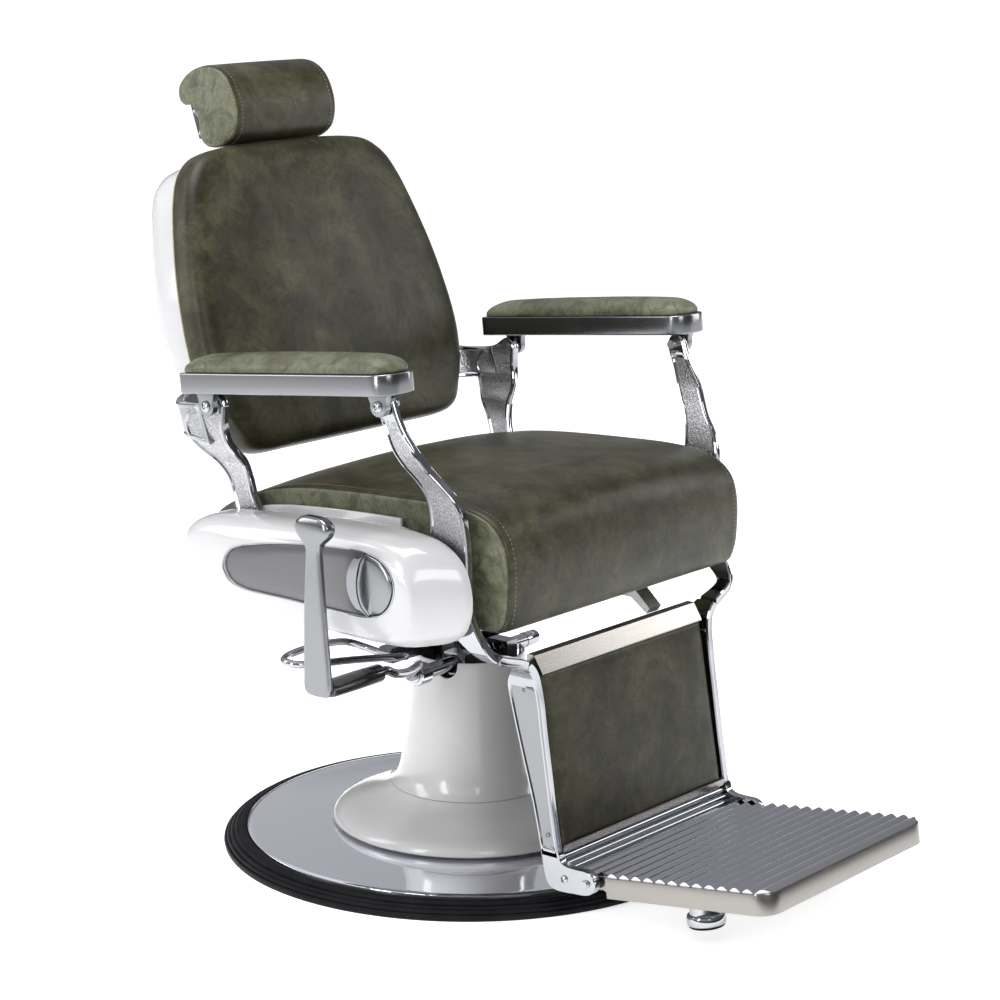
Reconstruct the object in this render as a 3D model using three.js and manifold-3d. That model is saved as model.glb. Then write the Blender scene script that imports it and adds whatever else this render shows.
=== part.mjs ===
// Hydraulic barber chair, in millimetres, +Z up.
// The origin is the centre of the round base on the floor. The sitter faces -Y, and the sitter's left is +X.
import * as THREE from 'three';
import { mergeVertices } from 'three/addons/utils/BufferGeometryUtils.js';
import Module from 'manifold-3d';

const wasm = await Module();
wasm.setup();

// ---- Driving dimensions -------------------------------------------------------------------------
const GAP = 0.3; // between pieces that touch
const BASE_R = 340; // outer radius of the rubber ring
const DISH_R = 309; // radius of the chrome dish
const DISH_TOP = 27.5;
const SHEET = 3; // thickness of pressed sheet parts
const FLANGE_TOP = 80;
const BELL_TOP = 265;
const BELL_WALL = 4;
const SHAFT_Y = -20; // cross shaft of the pump, along X
const SHAFT_Z = 261;
const SHAFT_R = 11;
const RAM_R = 22;
const SADDLE_Z = 292; // underside of the saddle on the ram
const FRAME_Z = 362; // underside of the seat frame
const SEAT_Z = 383; // underside of the seat cushion
const SEAT_HALF = 248; // half width of the seat cushion
const PLATE_IN = 251.5; // side plates beside the seat
const PLATE_OUT = 256;
const POST_IN = 258.5; // posts between side plate and pod
const POST_OUT = 270.5;
const POD_IN = 276;
const POD_OUT = 345;
const INSET_X = 337; // floor of the recess in the pod
const REAR_PIVOT = [125, 400]; // y, z of the back's pivot on the seat
const ARM_REAR = [175, 627]; // y, z of the arm's rear pivot
const ARM_FRONT = [-124, 662]; // y, z of the arm's front pivot
const FRONT_PIVOT = [REAR_PIVOT[0] + ARM_FRONT[0] - ARM_REAR[0], REAR_PIVOT[1] + ARM_FRONT[1] - ARM_REAR[1]];
const SEAT_PIN_R = 10;
const ARM_PIN_R = 6;
const EYE_R = 13; // rounded ends of the posts at the arm pivots
const BACK_BOTTOM = [212, 547]; // y, z of the lower front edge of the back cushion
const BACK_TILT = THREE.MathUtils.degToRad(19);
const BACK_FRONT = -23; // front of the back cushion in the back's own frame
const BACK_REAR = 17;
const SHELL_THICK = 62;
const BAR_FRONT = 63; // front of the headrest bar in the back's own frame
const HEADREST_HALF = 99;
const ARM_X = 304; // middle of the arm rail
const ARM_HALF = 33;
const ARM_ORIGIN = [200, 643]; // y, z of the rail's lower rear corner
const ARM_SLOPE = THREE.MathUtils.degToRad(5.92);
const ARM_LENGTH = 362;
const RAIL_THICK = 27;
const LEG_IN = 177; // lower side castings of the leg rest
const LEG_OUT = 189;
const KICK_HALF = 172;
const TRAY_PIVOT = [-349, 61]; // y, z of the footrest's pivot
const TRAY_SLOPE = THREE.MathUtils.degToRad(8);
const TRAY_FRONT = -272; // in the footrest's own frame, whose origin is the pivot
const TRAY_REAR = 34;
const TRAY_TOP = 7.5;
const TRAY_LOW = -19;
const TRAY_REAR_LOW = -11; // between the castings, where the pan swings past the base ring
const TRAY_HALF = 180; // half width ahead of the leg castings
const ROD_R = 4.5;
const RIBS = 15;

// ---- Finishes -----------------------------------------------------------------------------------
const finishes = {
  chrome: { color: 0xd8dadd, roughness: 0.12, metalness: 1 },
  steel: { color: 0xb9b6b0, roughness: 0.35, metalness: 1 },
  castIron: { color: 0x4a4a4c, roughness: 0.6, metalness: 0.8 },
  casting: { color: 0xc4c6c8, roughness: 0.3, metalness: 1 },
  rubber: { color: 0x1c1c1d, roughness: 0.8, metalness: 0 },
  blackPlastic: { color: 0x202022, roughness: 0.45, metalness: 0 },
  whiteShell: { color: 0xecece8, roughness: 0.12, metalness: 0 },
  bellPaint: { color: 0xd9dadb, roughness: 0.15, metalness: 0 },
  leather: { color: 0x6a6b52, roughness: 0.55, metalness: 0 },
};

// ---- Geometry helpers ---------------------------------------------------------------------------
function signedVolume(geometry) {
  const flat = geometry.index ? geometry.toNonIndexed() : geometry;
  const p = flat.attributes.position;
  const [a, b, c] = [new THREE.Vector3(), new THREE.Vector3(), new THREE.Vector3()];
  let sum = 0;
  for (let i = 0; i < p.count; i += 3) {
    a.fromBufferAttribute(p, i);
    b.fromBufferAttribute(p, i + 1);
    c.fromBufferAttribute(p, i + 2);
    sum += a.dot(b.cross(c));
  }
  return sum / 6;
}

// Shared vertices merged, flattened triangles dropped, faces pointing out.
function closed(geometry) {
  const bare = geometry.clone();
  bare.deleteAttribute('normal');
  bare.deleteAttribute('uv');
  const merged = mergeVertices(bare, 1e-3);
  const corners = Array.from(merged.index.array);
  const turn = signedVolume(merged) < 0;
  const kept = [];
  for (let i = 0; i < corners.length; i += 3) {
    const [a, b, c] = corners.slice(i, i + 3);
    if (a !== b && b !== c && c !== a) {
      kept.push(...(turn ? [b, a, c] : [a, b, c]));
    }
  }
  return merged.setIndex(kept);
}

function toSolid(geometry) {
  const merged = closed(geometry);
  return new wasm.Manifold(new wasm.Mesh({
    numProp: 3,
    vertProperties: new Float32Array(merged.attributes.position.array),
    triVerts: new Uint32Array(merged.index.array),
  }));
}

function toGeometry(solid) {
  const mesh = solid.getMesh();
  const geometry = new THREE.BufferGeometry();
  geometry.setAttribute('position', new THREE.BufferAttribute(mesh.vertProperties, 3));
  geometry.setIndex(new THREE.BufferAttribute(mesh.triVerts, 1));
  return geometry;
}

function cut(geometry, ...tools) {
  return toGeometry(tools.reduce((solid, tool) => solid.subtract(toSolid(tool)), toSolid(geometry)));
}

function join(geometry, ...others) {
  return toGeometry(others.reduce((solid, other) => solid.add(toSolid(other)), toSolid(geometry)));
}

function mirrored(geometry) {
  return closed(geometry.clone().scale(-1, 1, 1));
}

function extruded(points, depth, bevel = 0, bevelSegments = 2) {
  const shape = new THREE.Shape(points.map(([u, v]) => new THREE.Vector2(u, v)));
  return new THREE.ExtrudeGeometry(shape, {
    depth: depth - 2 * bevel,
    bevelEnabled: bevel > 0,
    bevelThickness: bevel,
    bevelSize: bevel,
    bevelOffset: -bevel,
    bevelSegments,
  }).translate(0, 0, bevel);
}

// Outline in Y and Z, between two X values.
function acrossX(points, low, high, bevel, bevelSegments) {
  const axes = new THREE.Matrix4().makeBasis(
    new THREE.Vector3(0, 1, 0), new THREE.Vector3(0, 0, 1), new THREE.Vector3(1, 0, 0));
  return extruded(points, high - low, bevel, bevelSegments).applyMatrix4(axes).translate(low, 0, 0);
}

// Outline in X and Z, between two Y values.
function acrossY(points, low, high, bevel, bevelSegments) {
  const axes = new THREE.Matrix4().makeBasis(
    new THREE.Vector3(1, 0, 0), new THREE.Vector3(0, 0, 1), new THREE.Vector3(0, -1, 0));
  return extruded(points, high - low, bevel, bevelSegments).applyMatrix4(axes).translate(0, high, 0);
}

// Outline in X and Y, between two Z values.
function acrossZ(points, low, high, bevel, bevelSegments) {
  return extruded(points, high - low, bevel, bevelSegments).translate(0, 0, low);
}

function box(x0, x1, y0, y1, z0, z1) {
  return new THREE.BoxGeometry(x1 - x0, y1 - y0, z1 - z0)
    .translate((x0 + x1) / 2, (y0 + y1) / 2, (z0 + z1) / 2);
}

// Radius and height pairs turned about Z; the profile starts and ends on the axis or closes on itself.
function turned(profile, segments = 48) {
  return new THREE.LatheGeometry(profile.map(([r, z]) => new THREE.Vector2(r, z)), segments)
    .rotateX(Math.PI / 2);
}

function turnedRing(profile, segments) {
  return turned([...profile, profile[0]], segments);
}

// The same about a line along X through (y, z); heights become X values.
function turnedX(profile, y, z, segments = 20) {
  return turned(profile, segments).rotateY(Math.PI / 2).translate(0, y, z);
}

function pinX(radius, x0, x1, y, z, segments = 20) {
  return new THREE.CylinderGeometry(radius, radius, x1 - x0, segments)
    .rotateZ(Math.PI / 2)
    .translate((x0 + x1) / 2, y, z);
}

function rod(points, radius, steps, sides = 8) {
  const section = [];
  for (let i = 0; i < sides; i += 1) {
    const angle = (i / sides) * 2 * Math.PI;
    section.push(new THREE.Vector2(radius * Math.cos(angle), radius * Math.sin(angle)));
  }
  const path = new THREE.CatmullRomCurve3(points.map((p) => new THREE.Vector3(...p)));
  return new THREE.ExtrudeGeometry(new THREE.Shape(section), { steps, extrudePath: path });
}

// Skin over matching rings of points, closed at both ends.
function lofted(sections) {
  const count = sections[0].length;
  const corners = sections.flat();
  const index = [];
  for (let s = 0; s + 1 < sections.length; s += 1) {
    for (let i = 0; i < count; i += 1) {
      const [a, b] = [s * count + i, s * count + (i + 1) % count];
      index.push(a, b, b + count, a, b + count, a + count);
    }
  }
  for (const [s, turn] of [[0, 1], [sections.length - 1, -1]]) {
    const middle = new THREE.Vector3();
    sections[s].forEach((point) => middle.add(point));
    corners.push(middle.divideScalar(count));
    for (let i = 0; i < count; i += 1) {
      const [a, b] = [s * count + i, s * count + (i + 1) % count];
      index.push(corners.length - 1, ...(turn > 0 ? [b, a] : [a, b]));
    }
  }
  return new THREE.BufferGeometry().setFromPoints(corners).setIndex(index);
}

// Upright bar: at each height z, from yFront to yRear and from xIn to xOut.
function post(stations) {
  return lofted(stations.map(([z, yFront, yRear, xIn, xOut]) => [
    new THREE.Vector3(xIn, yFront, z),
    new THREE.Vector3(xOut, yFront, z),
    new THREE.Vector3(xOut, yRear, z),
    new THREE.Vector3(xIn, yRear, z),
  ]));
}

function smoothOutline(points, count) {
  const curve = new THREE.CatmullRomCurve3(points.map(([u, v]) => new THREE.Vector3(u, v, 0)), true);
  return curve.getSpacedPoints(count).slice(0, count).map((p) => [p.x, p.y]);
}

// Points on a circle from one angle to another, in degrees.
function arc(u, v, radius, from, to, steps = 8) {
  return Array.from({ length: steps + 1 }, (_, i) => {
    const angle = THREE.MathUtils.degToRad(from + ((to - from) * i) / steps);
    return [u + radius * Math.cos(angle), v + radius * Math.sin(angle)];
  });
}

function circle(u, v, radius, count = 24) {
  return arc(u, v, radius, 0, 360, count).slice(0, count);
}

// Rectangle in X and Y whose front (low Y) corners are rounded.
function roundedFront(half, yFront, yRear, radius, steps = 6) {
  const points = [[half, yRear], [-half, yRear]];
  for (const side of [-1, 1]) {
    for (let i = 0; i <= steps; i += 1) {
      const angle = ((side < 0 ? i : steps - i) / steps) * (Math.PI / 2);
      const x = side * (half - radius + radius * Math.cos(angle));
      points.push([x, yFront + radius - radius * Math.sin(angle)]);
    }
  }
  return points;
}

const chair = new THREE.Group();

function add(group, name, geometry, finish) {
  const surface = closed(geometry);
  surface.computeVertexNormals();
  const mesh = new THREE.Mesh(surface, new THREE.MeshStandardMaterial(finishes[finish]));
  mesh.name = name;
  group.add(mesh);
}

// One piece on the sitter's left (+X) and its mirror image on the right.
function addPair(group, name, geometry, finish) {
  add(group, `${name}_left`, geometry, finish);
  add(group, `${name}_right`, mirrored(geometry), finish);
}

function tiltedGroup(y, z, angle, x = 0) {
  const group = new THREE.Group();
  group.position.set(x, y, z);
  group.rotation.x = -angle;
  chair.add(group);
  return group;
}

// ---- Base ---------------------------------------------------------------------------------------
function buildBase() {
  add(chair, 'base_plate', turned([[0, 0], [296, 0], [296, 8], [0, 8]], 64), 'castIron');
  add(chair, 'base_ring', turnedRing([
    [297, 0], [BASE_R, 0], [BASE_R, 7], [337, 8.5], [337, 14], [331, 15.5], [331, 19], [323, 21],
    [DISH_R, 21], [DISH_R, 8], [297, 8],
  ], 64), 'rubber');
  const [slope, brim] = [DISH_TOP - 1.2, DISH_TOP - 3.6];
  add(chair, 'base_dish', turned([
    [0, DISH_TOP - SHEET], [195, DISH_TOP - SHEET], [250, slope - SHEET], [303, brim - SHEET],
    [DISH_R - SHEET, brim - 5],
    [DISH_R - SHEET, 8 + GAP], [DISH_R - GAP, 8 + GAP], [DISH_R - GAP, brim - 2], [305, brim], [250, slope],
    [195, DISH_TOP], [0, DISH_TOP],
  ], 64), 'chrome');
  add(chair, 'column_flange', turnedRing([
    [60, DISH_TOP + GAP], [190, DISH_TOP + GAP], [190, 34], [185, 43], [148, 58], [121, 70.5],
    [108, FLANGE_TOP], [60, FLANGE_TOP],
  ], 48), 'bellPaint');
  add(chair, 'swivel_spindle', turned([
    [0, DISH_TOP + GAP], [58, DISH_TOP + GAP], [58, 46], [30, 46], [30, 76], [0, 76],
  ], 24), 'steel');
}

// ---- Pump column, which swivels on the base -----------------------------------------------------
function buildBell() {
  const outside = [
    [103, FLANGE_TOP + 1], [99, 92], [94.5, 111], [88.5, 155], [84, 192], [79, 228], [75.5, BELL_TOP],
  ];
  const inside = outside.map(([r, z]) => [r - BELL_WALL, z]).reverse();
  const notchOutline = [
    [SHAFT_Y + 15, BELL_TOP + 10], [SHAFT_Y - 15, BELL_TOP + 10],
    ...arc(SHAFT_Y, SHAFT_Z - 3, 15, 180, 360),
  ];
  const notch = acrossX(notchOutline, -120, 120, 0);
  add(chair, 'column_bell', cut(turnedRing([...outside, ...inside], 48), notch), 'bellPaint');
}

function buildPump() {
  add(chair, 'pump_cylinder', turned([
    [0, FLANGE_TOP + 0.5], [50, FLANGE_TOP + 0.5], [50, 224], [RAM_R + 1, 224], [RAM_R + 1, 100], [0, 100],
  ], 24), 'castIron');
  const bearings = [-45, 45].map((x) => box(x - 11, x + 11, SHAFT_Y - 18, SHAFT_Y + 18, 240, 274));
  const collar = turnedRing([[RAM_R + 1, 224 + GAP], [66, 224 + GAP], [66, 248], [RAM_R + 1, 248]], 24);
  const head = join(collar, ...bearings);
  add(chair, 'pump_head', cut(head, pinX(SHAFT_R + GAP, -80, 80, SHAFT_Y, SHAFT_Z)), 'castIron');
  add(chair, 'release_shaft', turnedX([
    [0, 30], [SHAFT_R - 1, 30], [SHAFT_R - 1, 112], [SHAFT_R - 4, 117], [0, 117],
  ], SHAFT_Y, SHAFT_Z), 'chrome');
  const bracket = acrossY([
    [-30, 248 + GAP], [-50, 248 + GAP], [-50, 268], [-132, 268], [-138, 274], [-138, 284],
    [-132, 289], [-30, 289],
  ], 24, 46, 0);
  const eye = new THREE.CylinderGeometry(5.6, 5.6, 60, 16).translate(-126, 35, 278.5);
  add(chair, 'lock_bracket', cut(bracket, eye), 'castIron');
}

// The lever turns the cross shaft; its pedal and upright handle stand outside the pod.
function buildPumpLever() {
  add(chair, 'pump_shaft', turnedX([
    [0, -138], [15, -138], [15, -115], [SHAFT_R - 1, -113], [SHAFT_R - 1, -30], [0, -30],
  ], SHAFT_Y, SHAFT_Z), 'chrome');
  add(chair, 'lever_rod', rod([
    [-138.6, SHAFT_Y, SHAFT_Z], [-145, SHAFT_Y, SHAFT_Z], [-154, -26, 267], [-161, -44, 283],
    [-176, -62, 292],
    [-215, -78, 294], [-252, -89, 302], [-272, -91, 311], [-284.6, -91, 311],
  ], 6, 40), 'chrome');
  add(chair, 'pump_pedal', pinX(12, -380 + GAP, -285, -91, 311), 'rubber');
  add(chair, 'lever_handle', acrossX([
    [-98, 303], [-66, 301], [-58, 306], [-59, 400], [-64, 494], [-87, 494], [-94, 380], [-101, 308],
  ], -391, -380, 2), 'chrome');
  const knobOutline = circle(0, 0, 1).map(([u, v]) => [-77 + 29 * u, 494 + GAP + 18.5 * (1 + v)]);
  add(chair, 'lever_knob', acrossX(knobOutline, -396, -375, 6), 'chrome');
}

// One bent rod whose two ends meet inside the bracket's eye.
function buildLockLoop() {
  add(chair, 'lock_loop', rod([
    [-126, 34.6, 278.5], [-126, 15, 278.5], [-130, 1, 282], [-147, -9, 287], [-182, -2, 292],
    [-232, 12, 297],
    [-282, 24, 301], [-305, 36, 303], [-307, 54, 304], [-289, 70, 303], [-240, 86, 300], [-180, 94, 295],
    [-145, 92, 289], [-130, 77, 282], [-126, 58, 278.5], [-126, 35.4, 278.5],
  ], 5, 60), 'chrome');
}

// ---- Seat, which rises on the ram ---------------------------------------------------------------
function buildSeatFrame() {
  const ram = [[0, 104], [RAM_R, 104], [RAM_R, SADDLE_Z - GAP], [0, SADDLE_Z - GAP]];
  add(chair, 'ram', turned(ram, 24), 'chrome');
  add(chair, 'saddle', acrossX([
    [-46, SADDLE_Z], [46, SADDLE_Z], [70, SADDLE_Z + 30], [84, FRAME_Z - GAP],
    [-98, FRAME_Z - GAP], [-80, SADDLE_Z + 30],
  ], -62, 62, 4), 'chrome');
  add(chair, 'seat_frame', cut(
    box(-PLATE_IN + GAP, PLATE_IN - GAP, -165, 135, FRAME_Z, SEAT_Z - 1),
    box(-PLATE_IN + 8, PLATE_IN - 8, -157, 127, FRAME_Z + 6, SEAT_Z + 5),
  ), 'castIron');
  add(chair, 'leg_stop_strut', acrossX([
    [-120, FRAME_Z - GAP], [-210, FRAME_Z - GAP], [-233, 341], [-228, 333], [-202, 352], [-120, 354],
  ], 96, 122, 0), 'steel');
  addPair(chair, 'seat_side_plate', acrossX([
    [-190, 388], [-165, 368], [0, 366], [150, 380], [184, 398], [182, 440], [166, 474], [141, 489],
    [100, 498],
    [60, 504], [8, 508], [-50, 512], [-108, 514], [-109, 500], [-172, 484], [-194, 440],
  ], PLATE_IN, PLATE_OUT, 0), 'whiteShell');
  for (const [name, [y, z]] of [['rear_seat_pin', REAR_PIVOT], ['front_seat_pin', FRONT_PIVOT]]) {
    addPair(chair, name, pinX(SEAT_PIN_R, PLATE_OUT + GAP, POD_IN - GAP, y, z), 'steel');
  }
}

function buildSeatCushion() {
  add(chair, 'seat_cushion', acrossX([
    [-253, SEAT_Z], [-262, 402], [-268, 446], [-265, 475], [-256, 503], [-238, 523], [-214, 534],
    [-160, 540],
    [-60, 538], [60, 532], [130, 522], [176, 504], [209, 486], [237, 464], [234, 430], [216, SEAT_Z],
  ], -SEAT_HALF, SEAT_HALF, 14), 'leather');
}

const podOutline = smoothOutline([
  [215, 434], [209, 465], [178, 483], [119, 491], [29, 498], [-74, 503], [-150, 502], [-198, 492],
  [-228, 469],
  [-239, 438], [-239, 409], [-228, 384], [-200, 367], [-150, 362], [-60, 362], [60, 368],
  [140, 378], [192, 398],
], 44);
const insetOutline = smoothOutline([
  [125, 430], [114, 450], [56, 467], [-10, 477], [-66, 482], [-122, 483], [-150, 475], [-167, 455],
  [-166, 432],
  [-152, 411], [-122, 402], [-60, 401], [20, 402], [94, 404], [116, 412],
], 36);

function scaledOutline(outline, scale, x, [y0, z0] = [-12, 432]) {
  return outline.map(([y, z]) => new THREE.Vector3(x, y0 + (y - y0) * scale, z0 + (z - z0) * scale));
}

function buildPods() {
  const rings = [
    [POD_IN, 0.96], [POD_IN + 6, 1], [310, 1], [326, 0.98], [336, 0.945], [342, 0.9], [POD_OUT, 0.85],
  ];
  const shell = lofted(rings.map(([x, scale]) => scaledOutline(podOutline, scale, x)));
  const recess = acrossX(insetOutline, INSET_X, POD_OUT + 10, 0);
  addPair(chair, 'pod_shell', cut(shell, recess), 'whiteShell');
  const plate = lofted([[INSET_X + GAP, 0.985], [INSET_X + 3, 0.985], [INSET_X + 5, 0.96]]
    .map(([x, scale]) => scaledOutline(insetOutline, scale, x, [-21, 442])));
  addPair(chair, 'pod_inset', plate, 'steel');
}

// ---- Back, which reclines about the rear seat pins ----------------------------------------------
function buildRearPosts() {
  const [py, pz] = REAR_PIVOT;
  const stations = [
    [pz - 24, py - 8, py + 8, POST_IN, POST_OUT],
    [pz - 16, py - 19, py + 19, POST_IN, POST_OUT],
    [pz, py - 25, py + 26, POST_IN, POST_OUT],
    [440, 106, 157, POST_IN, POST_OUT],
    [475, 127, 171, POST_IN, POST_OUT],
    [502, 141, 180, POST_IN, POST_OUT],
    [527, 148, 189, 260, 272.5],
    [550, 151, 208, 266, 279.5],
    [564, 155, 218, 279, 292],
    [579, 160, 229, 290, 303],
    [604, 163, 234, 290, 304],
    [620, ARM_REAR[0] - EYE_R, 215, 290, 304],
    [ARM_REAR[1], ARM_REAR[0] - EYE_R, ARM_REAR[0] + EYE_R + 4, 290, 304],
    [ARM_REAR[1] + 9, ARM_REAR[0] - 9, ARM_REAR[0] + 9, 290, 304],
    [ARM_REAR[1] + EYE_R, ARM_REAR[0] - 3, ARM_REAR[0] + 3, 290, 304],
  ];
  const arm = curvedBackArm();
  const casting = join(post(stations), arm);
  addPair(chair, 'rear_post', cut(
    casting,
    pinX(SEAT_PIN_R + 0.5, POST_IN - 10, POST_OUT + 10, py, pz),
    pinX(ARM_PIN_R + 1, 270, 330, ...ARM_REAR),
  ), 'casting');
}

// Band that leaves the post rearwards and curves in behind the cushion to the side of the back shell.
function curvedBackArm() {
  const halfHeight = 28;
  const halfThick = 6.5;
  const middle = [[297, 196], [297, 222], [291, 243], [275, 260], [252, 272], [SHELL_SIDE + 4, 279]];
  const up = new THREE.Vector3(0, Math.sin(BACK_TILT), Math.cos(BACK_TILT));
  return lofted(middle.map(([x, y], i) => {
    const before = middle[Math.max(0, i - 1)];
    const after = middle[Math.min(middle.length - 1, i + 1)];
    const along = new THREE.Vector3(after[0] - before[0], after[1] - before[1], 0).normalize();
    const across = new THREE.Vector3(along.y, -along.x, 0).multiplyScalar(halfThick);
    const centre = new THREE.Vector3(x, y, 598);
    return [[1, -1], [1, 1], [-1, 1], [-1, -1]].map(([side, level]) => centre.clone()
      .addScaledVector(across, side)
      .addScaledVector(up, level * halfHeight));
  }));
}

const SHELL_SIDE = 223;
const SHELL_TOP = 396;
const backSides = [
  [192, -5], [212, 4], [225, 32], [240, 61], [248, 98], [250, 138], [244, 198], [235, 250], [219, 308],
  [207, 350], [192, 380], [171, 399], [138, 409],
];
const shellSides = [
  [170, 6], [190, 14], [204, 34], [214, 62], [SHELL_SIDE, 98], [SHELL_SIDE + 8, 138],
  [SHELL_SIDE + 6, 198], [220, 250], [204, 308], [192, 348], [176, 374], [156, 389], [126, SHELL_TOP],
];

function symmetricOutline(sides) {
  return [...sides, ...sides.map(([x, s]) => [-x, s]).reverse()];
}

function buildBack() {
  const back = tiltedGroup(...BACK_BOTTOM, BACK_TILT);
  add(back, 'back_cushion', acrossY(symmetricOutline(backSides), BACK_FRONT, BACK_REAR, 12), 'leather');
  const shell = acrossY(symmetricOutline(shellSides), BACK_REAR + 0.5, BACK_REAR + SHELL_THICK, 18, 3);
  add(back, 'back_shell', cut(shell, box(-22, 22, BAR_FRONT - 2, BAR_FRONT + 9, 190, 410)), 'whiteShell');
  add(back, 'headrest_socket', cut(
    box(-34, 34, BAR_FRONT - 6, BAR_FRONT + 13, SHELL_TOP + 1, SHELL_TOP + 12),
    box(-20.5, 20.5, BAR_FRONT - 0.5, BAR_FRONT + 6.5, 380, 420),
  ), 'blackPlastic');
}

// ---- Headrest -----------------------------------------------------------------------------------
function buildHeadrest() {
  const back = tiltedGroup(...BACK_BOTTOM, BACK_TILT);
  add(back, 'headrest_bar', box(-20, 20, BAR_FRONT, BAR_FRONT + 6, 200, 432), 'chrome');
  const pivot = BAR_FRONT - 1;
  const earOutline = [[pivot - 4, 436], [pivot + 8, 436], ...arc(pivot, 460, 9, 0, 180)];
  const ear = (x0, x1) => acrossX(earOutline, x0, x1, 0);
  add(back, 'headrest_yoke', join(
    box(-30, 30, pivot - 4, pivot + 12, 432 + GAP, 444),
    ear(-30, -22),
    ear(22, 30),
  ), 'blackPlastic');
  add(back, 'headrest_tongue', box(-20.5, 20.5, pivot - 14.5, pivot + 6, 450, 473), 'blackPlastic');
  add(back, 'headrest_bolster', acrossX(smoothOutline([
    [6, 414], [28, 416], [45, 423], [50, 436], [45, 455], [45, 472], [52, 484], [64, 488], [71, 497],
    [68, 513], [51, 525], [20, 529], [-10, 520], [-28, 499], [-34, 470], [-30, 443], [-16, 422],
  ], 34), -HEADREST_HALF, HEADREST_HALF, 6), 'leather');
}

// ---- Arms ---------------------------------------------------------------------------------------
// Position along and above the rail for a point given in chair coordinates.
function alongArm([y, z]) {
  const [dy, dz] = [y - ARM_ORIGIN[0], z - ARM_ORIGIN[1]];
  return [
    dy * Math.cos(ARM_SLOPE) - dz * Math.sin(ARM_SLOPE),
    dy * Math.sin(ARM_SLOPE) + dz * Math.cos(ARM_SLOPE),
  ];
}

// Ear under the rail, outside the post, with the hole for the arm bolt.
function armEar([y, z]) {
  return acrossX([[y + EYE_R + 3, 2], [y - EYE_R - 3, 2], ...arc(y, z, EYE_R, 180, 360)], 6, 16, 0);
}

function buildArm(side) {
  const name = side > 0 ? 'left' : 'right';
  const arm = tiltedGroup(...ARM_ORIGIN, ARM_SLOPE, side * ARM_X);
  const place = (geometry) => (side > 0 ? geometry : mirrored(geometry));
  const pivots = [['rear', alongArm(ARM_REAR)], ['front', alongArm(ARM_FRONT)]];
  let rail = acrossZ(roundedFront(ARM_HALF, 5 - ARM_LENGTH, 5, 28), 0, RAIL_THICK, 4);
  rail = join(rail, ...pivots.map(([, pivot]) => armEar(pivot)));
  rail = cut(rail, ...pivots.map(([, [y, z]]) => pinX(ARM_PIN_R + GAP, 0, 40, y, z)));
  add(arm, `arm_rail_${name}`, place(rail), 'casting');
  const padOutline = roundedFront(ARM_HALF - 4, 17 - ARM_LENGTH, -6, 25);
  const pad = acrossZ(padOutline, RAIL_THICK + GAP, RAIL_THICK + 24, 9);
  add(arm, `arm_pad_${name}`, place(pad), 'leather');
  for (const [end, [y, z]] of pivots) {
    const bolt = turnedX([
      [0, -18], [ARM_PIN_R, -18], [ARM_PIN_R, 16 + GAP], [9, 16 + GAP], [9, 20], [7, 22], [0, 22],
    ], y, z);
    add(arm, `arm_bolt_${end}_${name}`, place(bolt), 'chrome');
  }
}

// ---- Leg rest, which swings about the front seat pins -------------------------------------------
const legOutline = [
  [-260, 338], [-267, 316], [-274, 270], [-281, 224], [-287, 186], [-293, 147], [-302, 96],
  [-305, 84], [-316, 77],
  [-351, 76], [-362, 69], [-361, 54], [-346, 45], [-300, 42], [-288, 49], [-283, 61], [-274, 98],
  [-262, 149],
  [-246, 205], [-232, 254], [-224, 287], [-215, 316], [-216, 330],
];

function buildLegCastings() {
  const [py, pz] = FRONT_PIVOT;
  const [ay, az] = ARM_FRONT;
  const upper = post([
    [334, -258, -238, POST_IN, POST_OUT],
    [348, -259, -228, POST_IN, POST_OUT],
    [366, -250, -212, POST_IN, POST_OUT],
    [386, -236, -196, POST_IN, POST_OUT],
    [410, -227, py + 18, POST_IN, POST_OUT],
    [pz, -225, py + 26, POST_IN, POST_OUT],
    [460, -224, py + 22, POST_IN, POST_OUT],
    [503, -222, -170, POST_IN, POST_OUT],
    [534, -217, -165, 264, 277],
    [553, -207, -162, 269, 282],
    [571, -192, -153, 274, 287],
    [589, -178, -140, 283, 296],
    [608, -167, -129, 291, 304],
    [628, -153, -122, 295, 308],
    [650, -141, ay + 11, 296, 308],
    [az, ay - EYE_R, ay + EYE_R, 296, 308],
    [az + 9, ay - 9, ay + 9, 296, 308],
    [az + EYE_R, ay - 3, ay + 3, 296, 308],
  ]);
  const knee = lofted([
    [POST_OUT, -256, -236, 334, 354], [250, -264, -241, 326, 352], [225, -268, -244, 316, 345],
    [205, -269, -240, 302, 338], [183, -267, -228, 290, 330],
  ].map(([x, yFront, yRear, low, high]) => [
    new THREE.Vector3(x, yFront, low),
    new THREE.Vector3(x, yRear, low),
    new THREE.Vector3(x, yRear, high),
    new THREE.Vector3(x, yFront, high),
  ]));
  const casting = join(upper, knee, acrossX(legOutline, LEG_IN, LEG_OUT, 0));
  addPair(chair, 'leg_casting', cut(
    casting,
    pinX(SEAT_PIN_R + 0.5, POST_IN - 10, POST_OUT + 10, py, pz),
    pinX(ARM_PIN_R + 2, 280, 320, ay, az),
    pinX(ROD_R + 1, LEG_IN - 5, LEG_OUT + 5, ...TRAY_PIVOT),
  ), 'casting');
}

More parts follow.
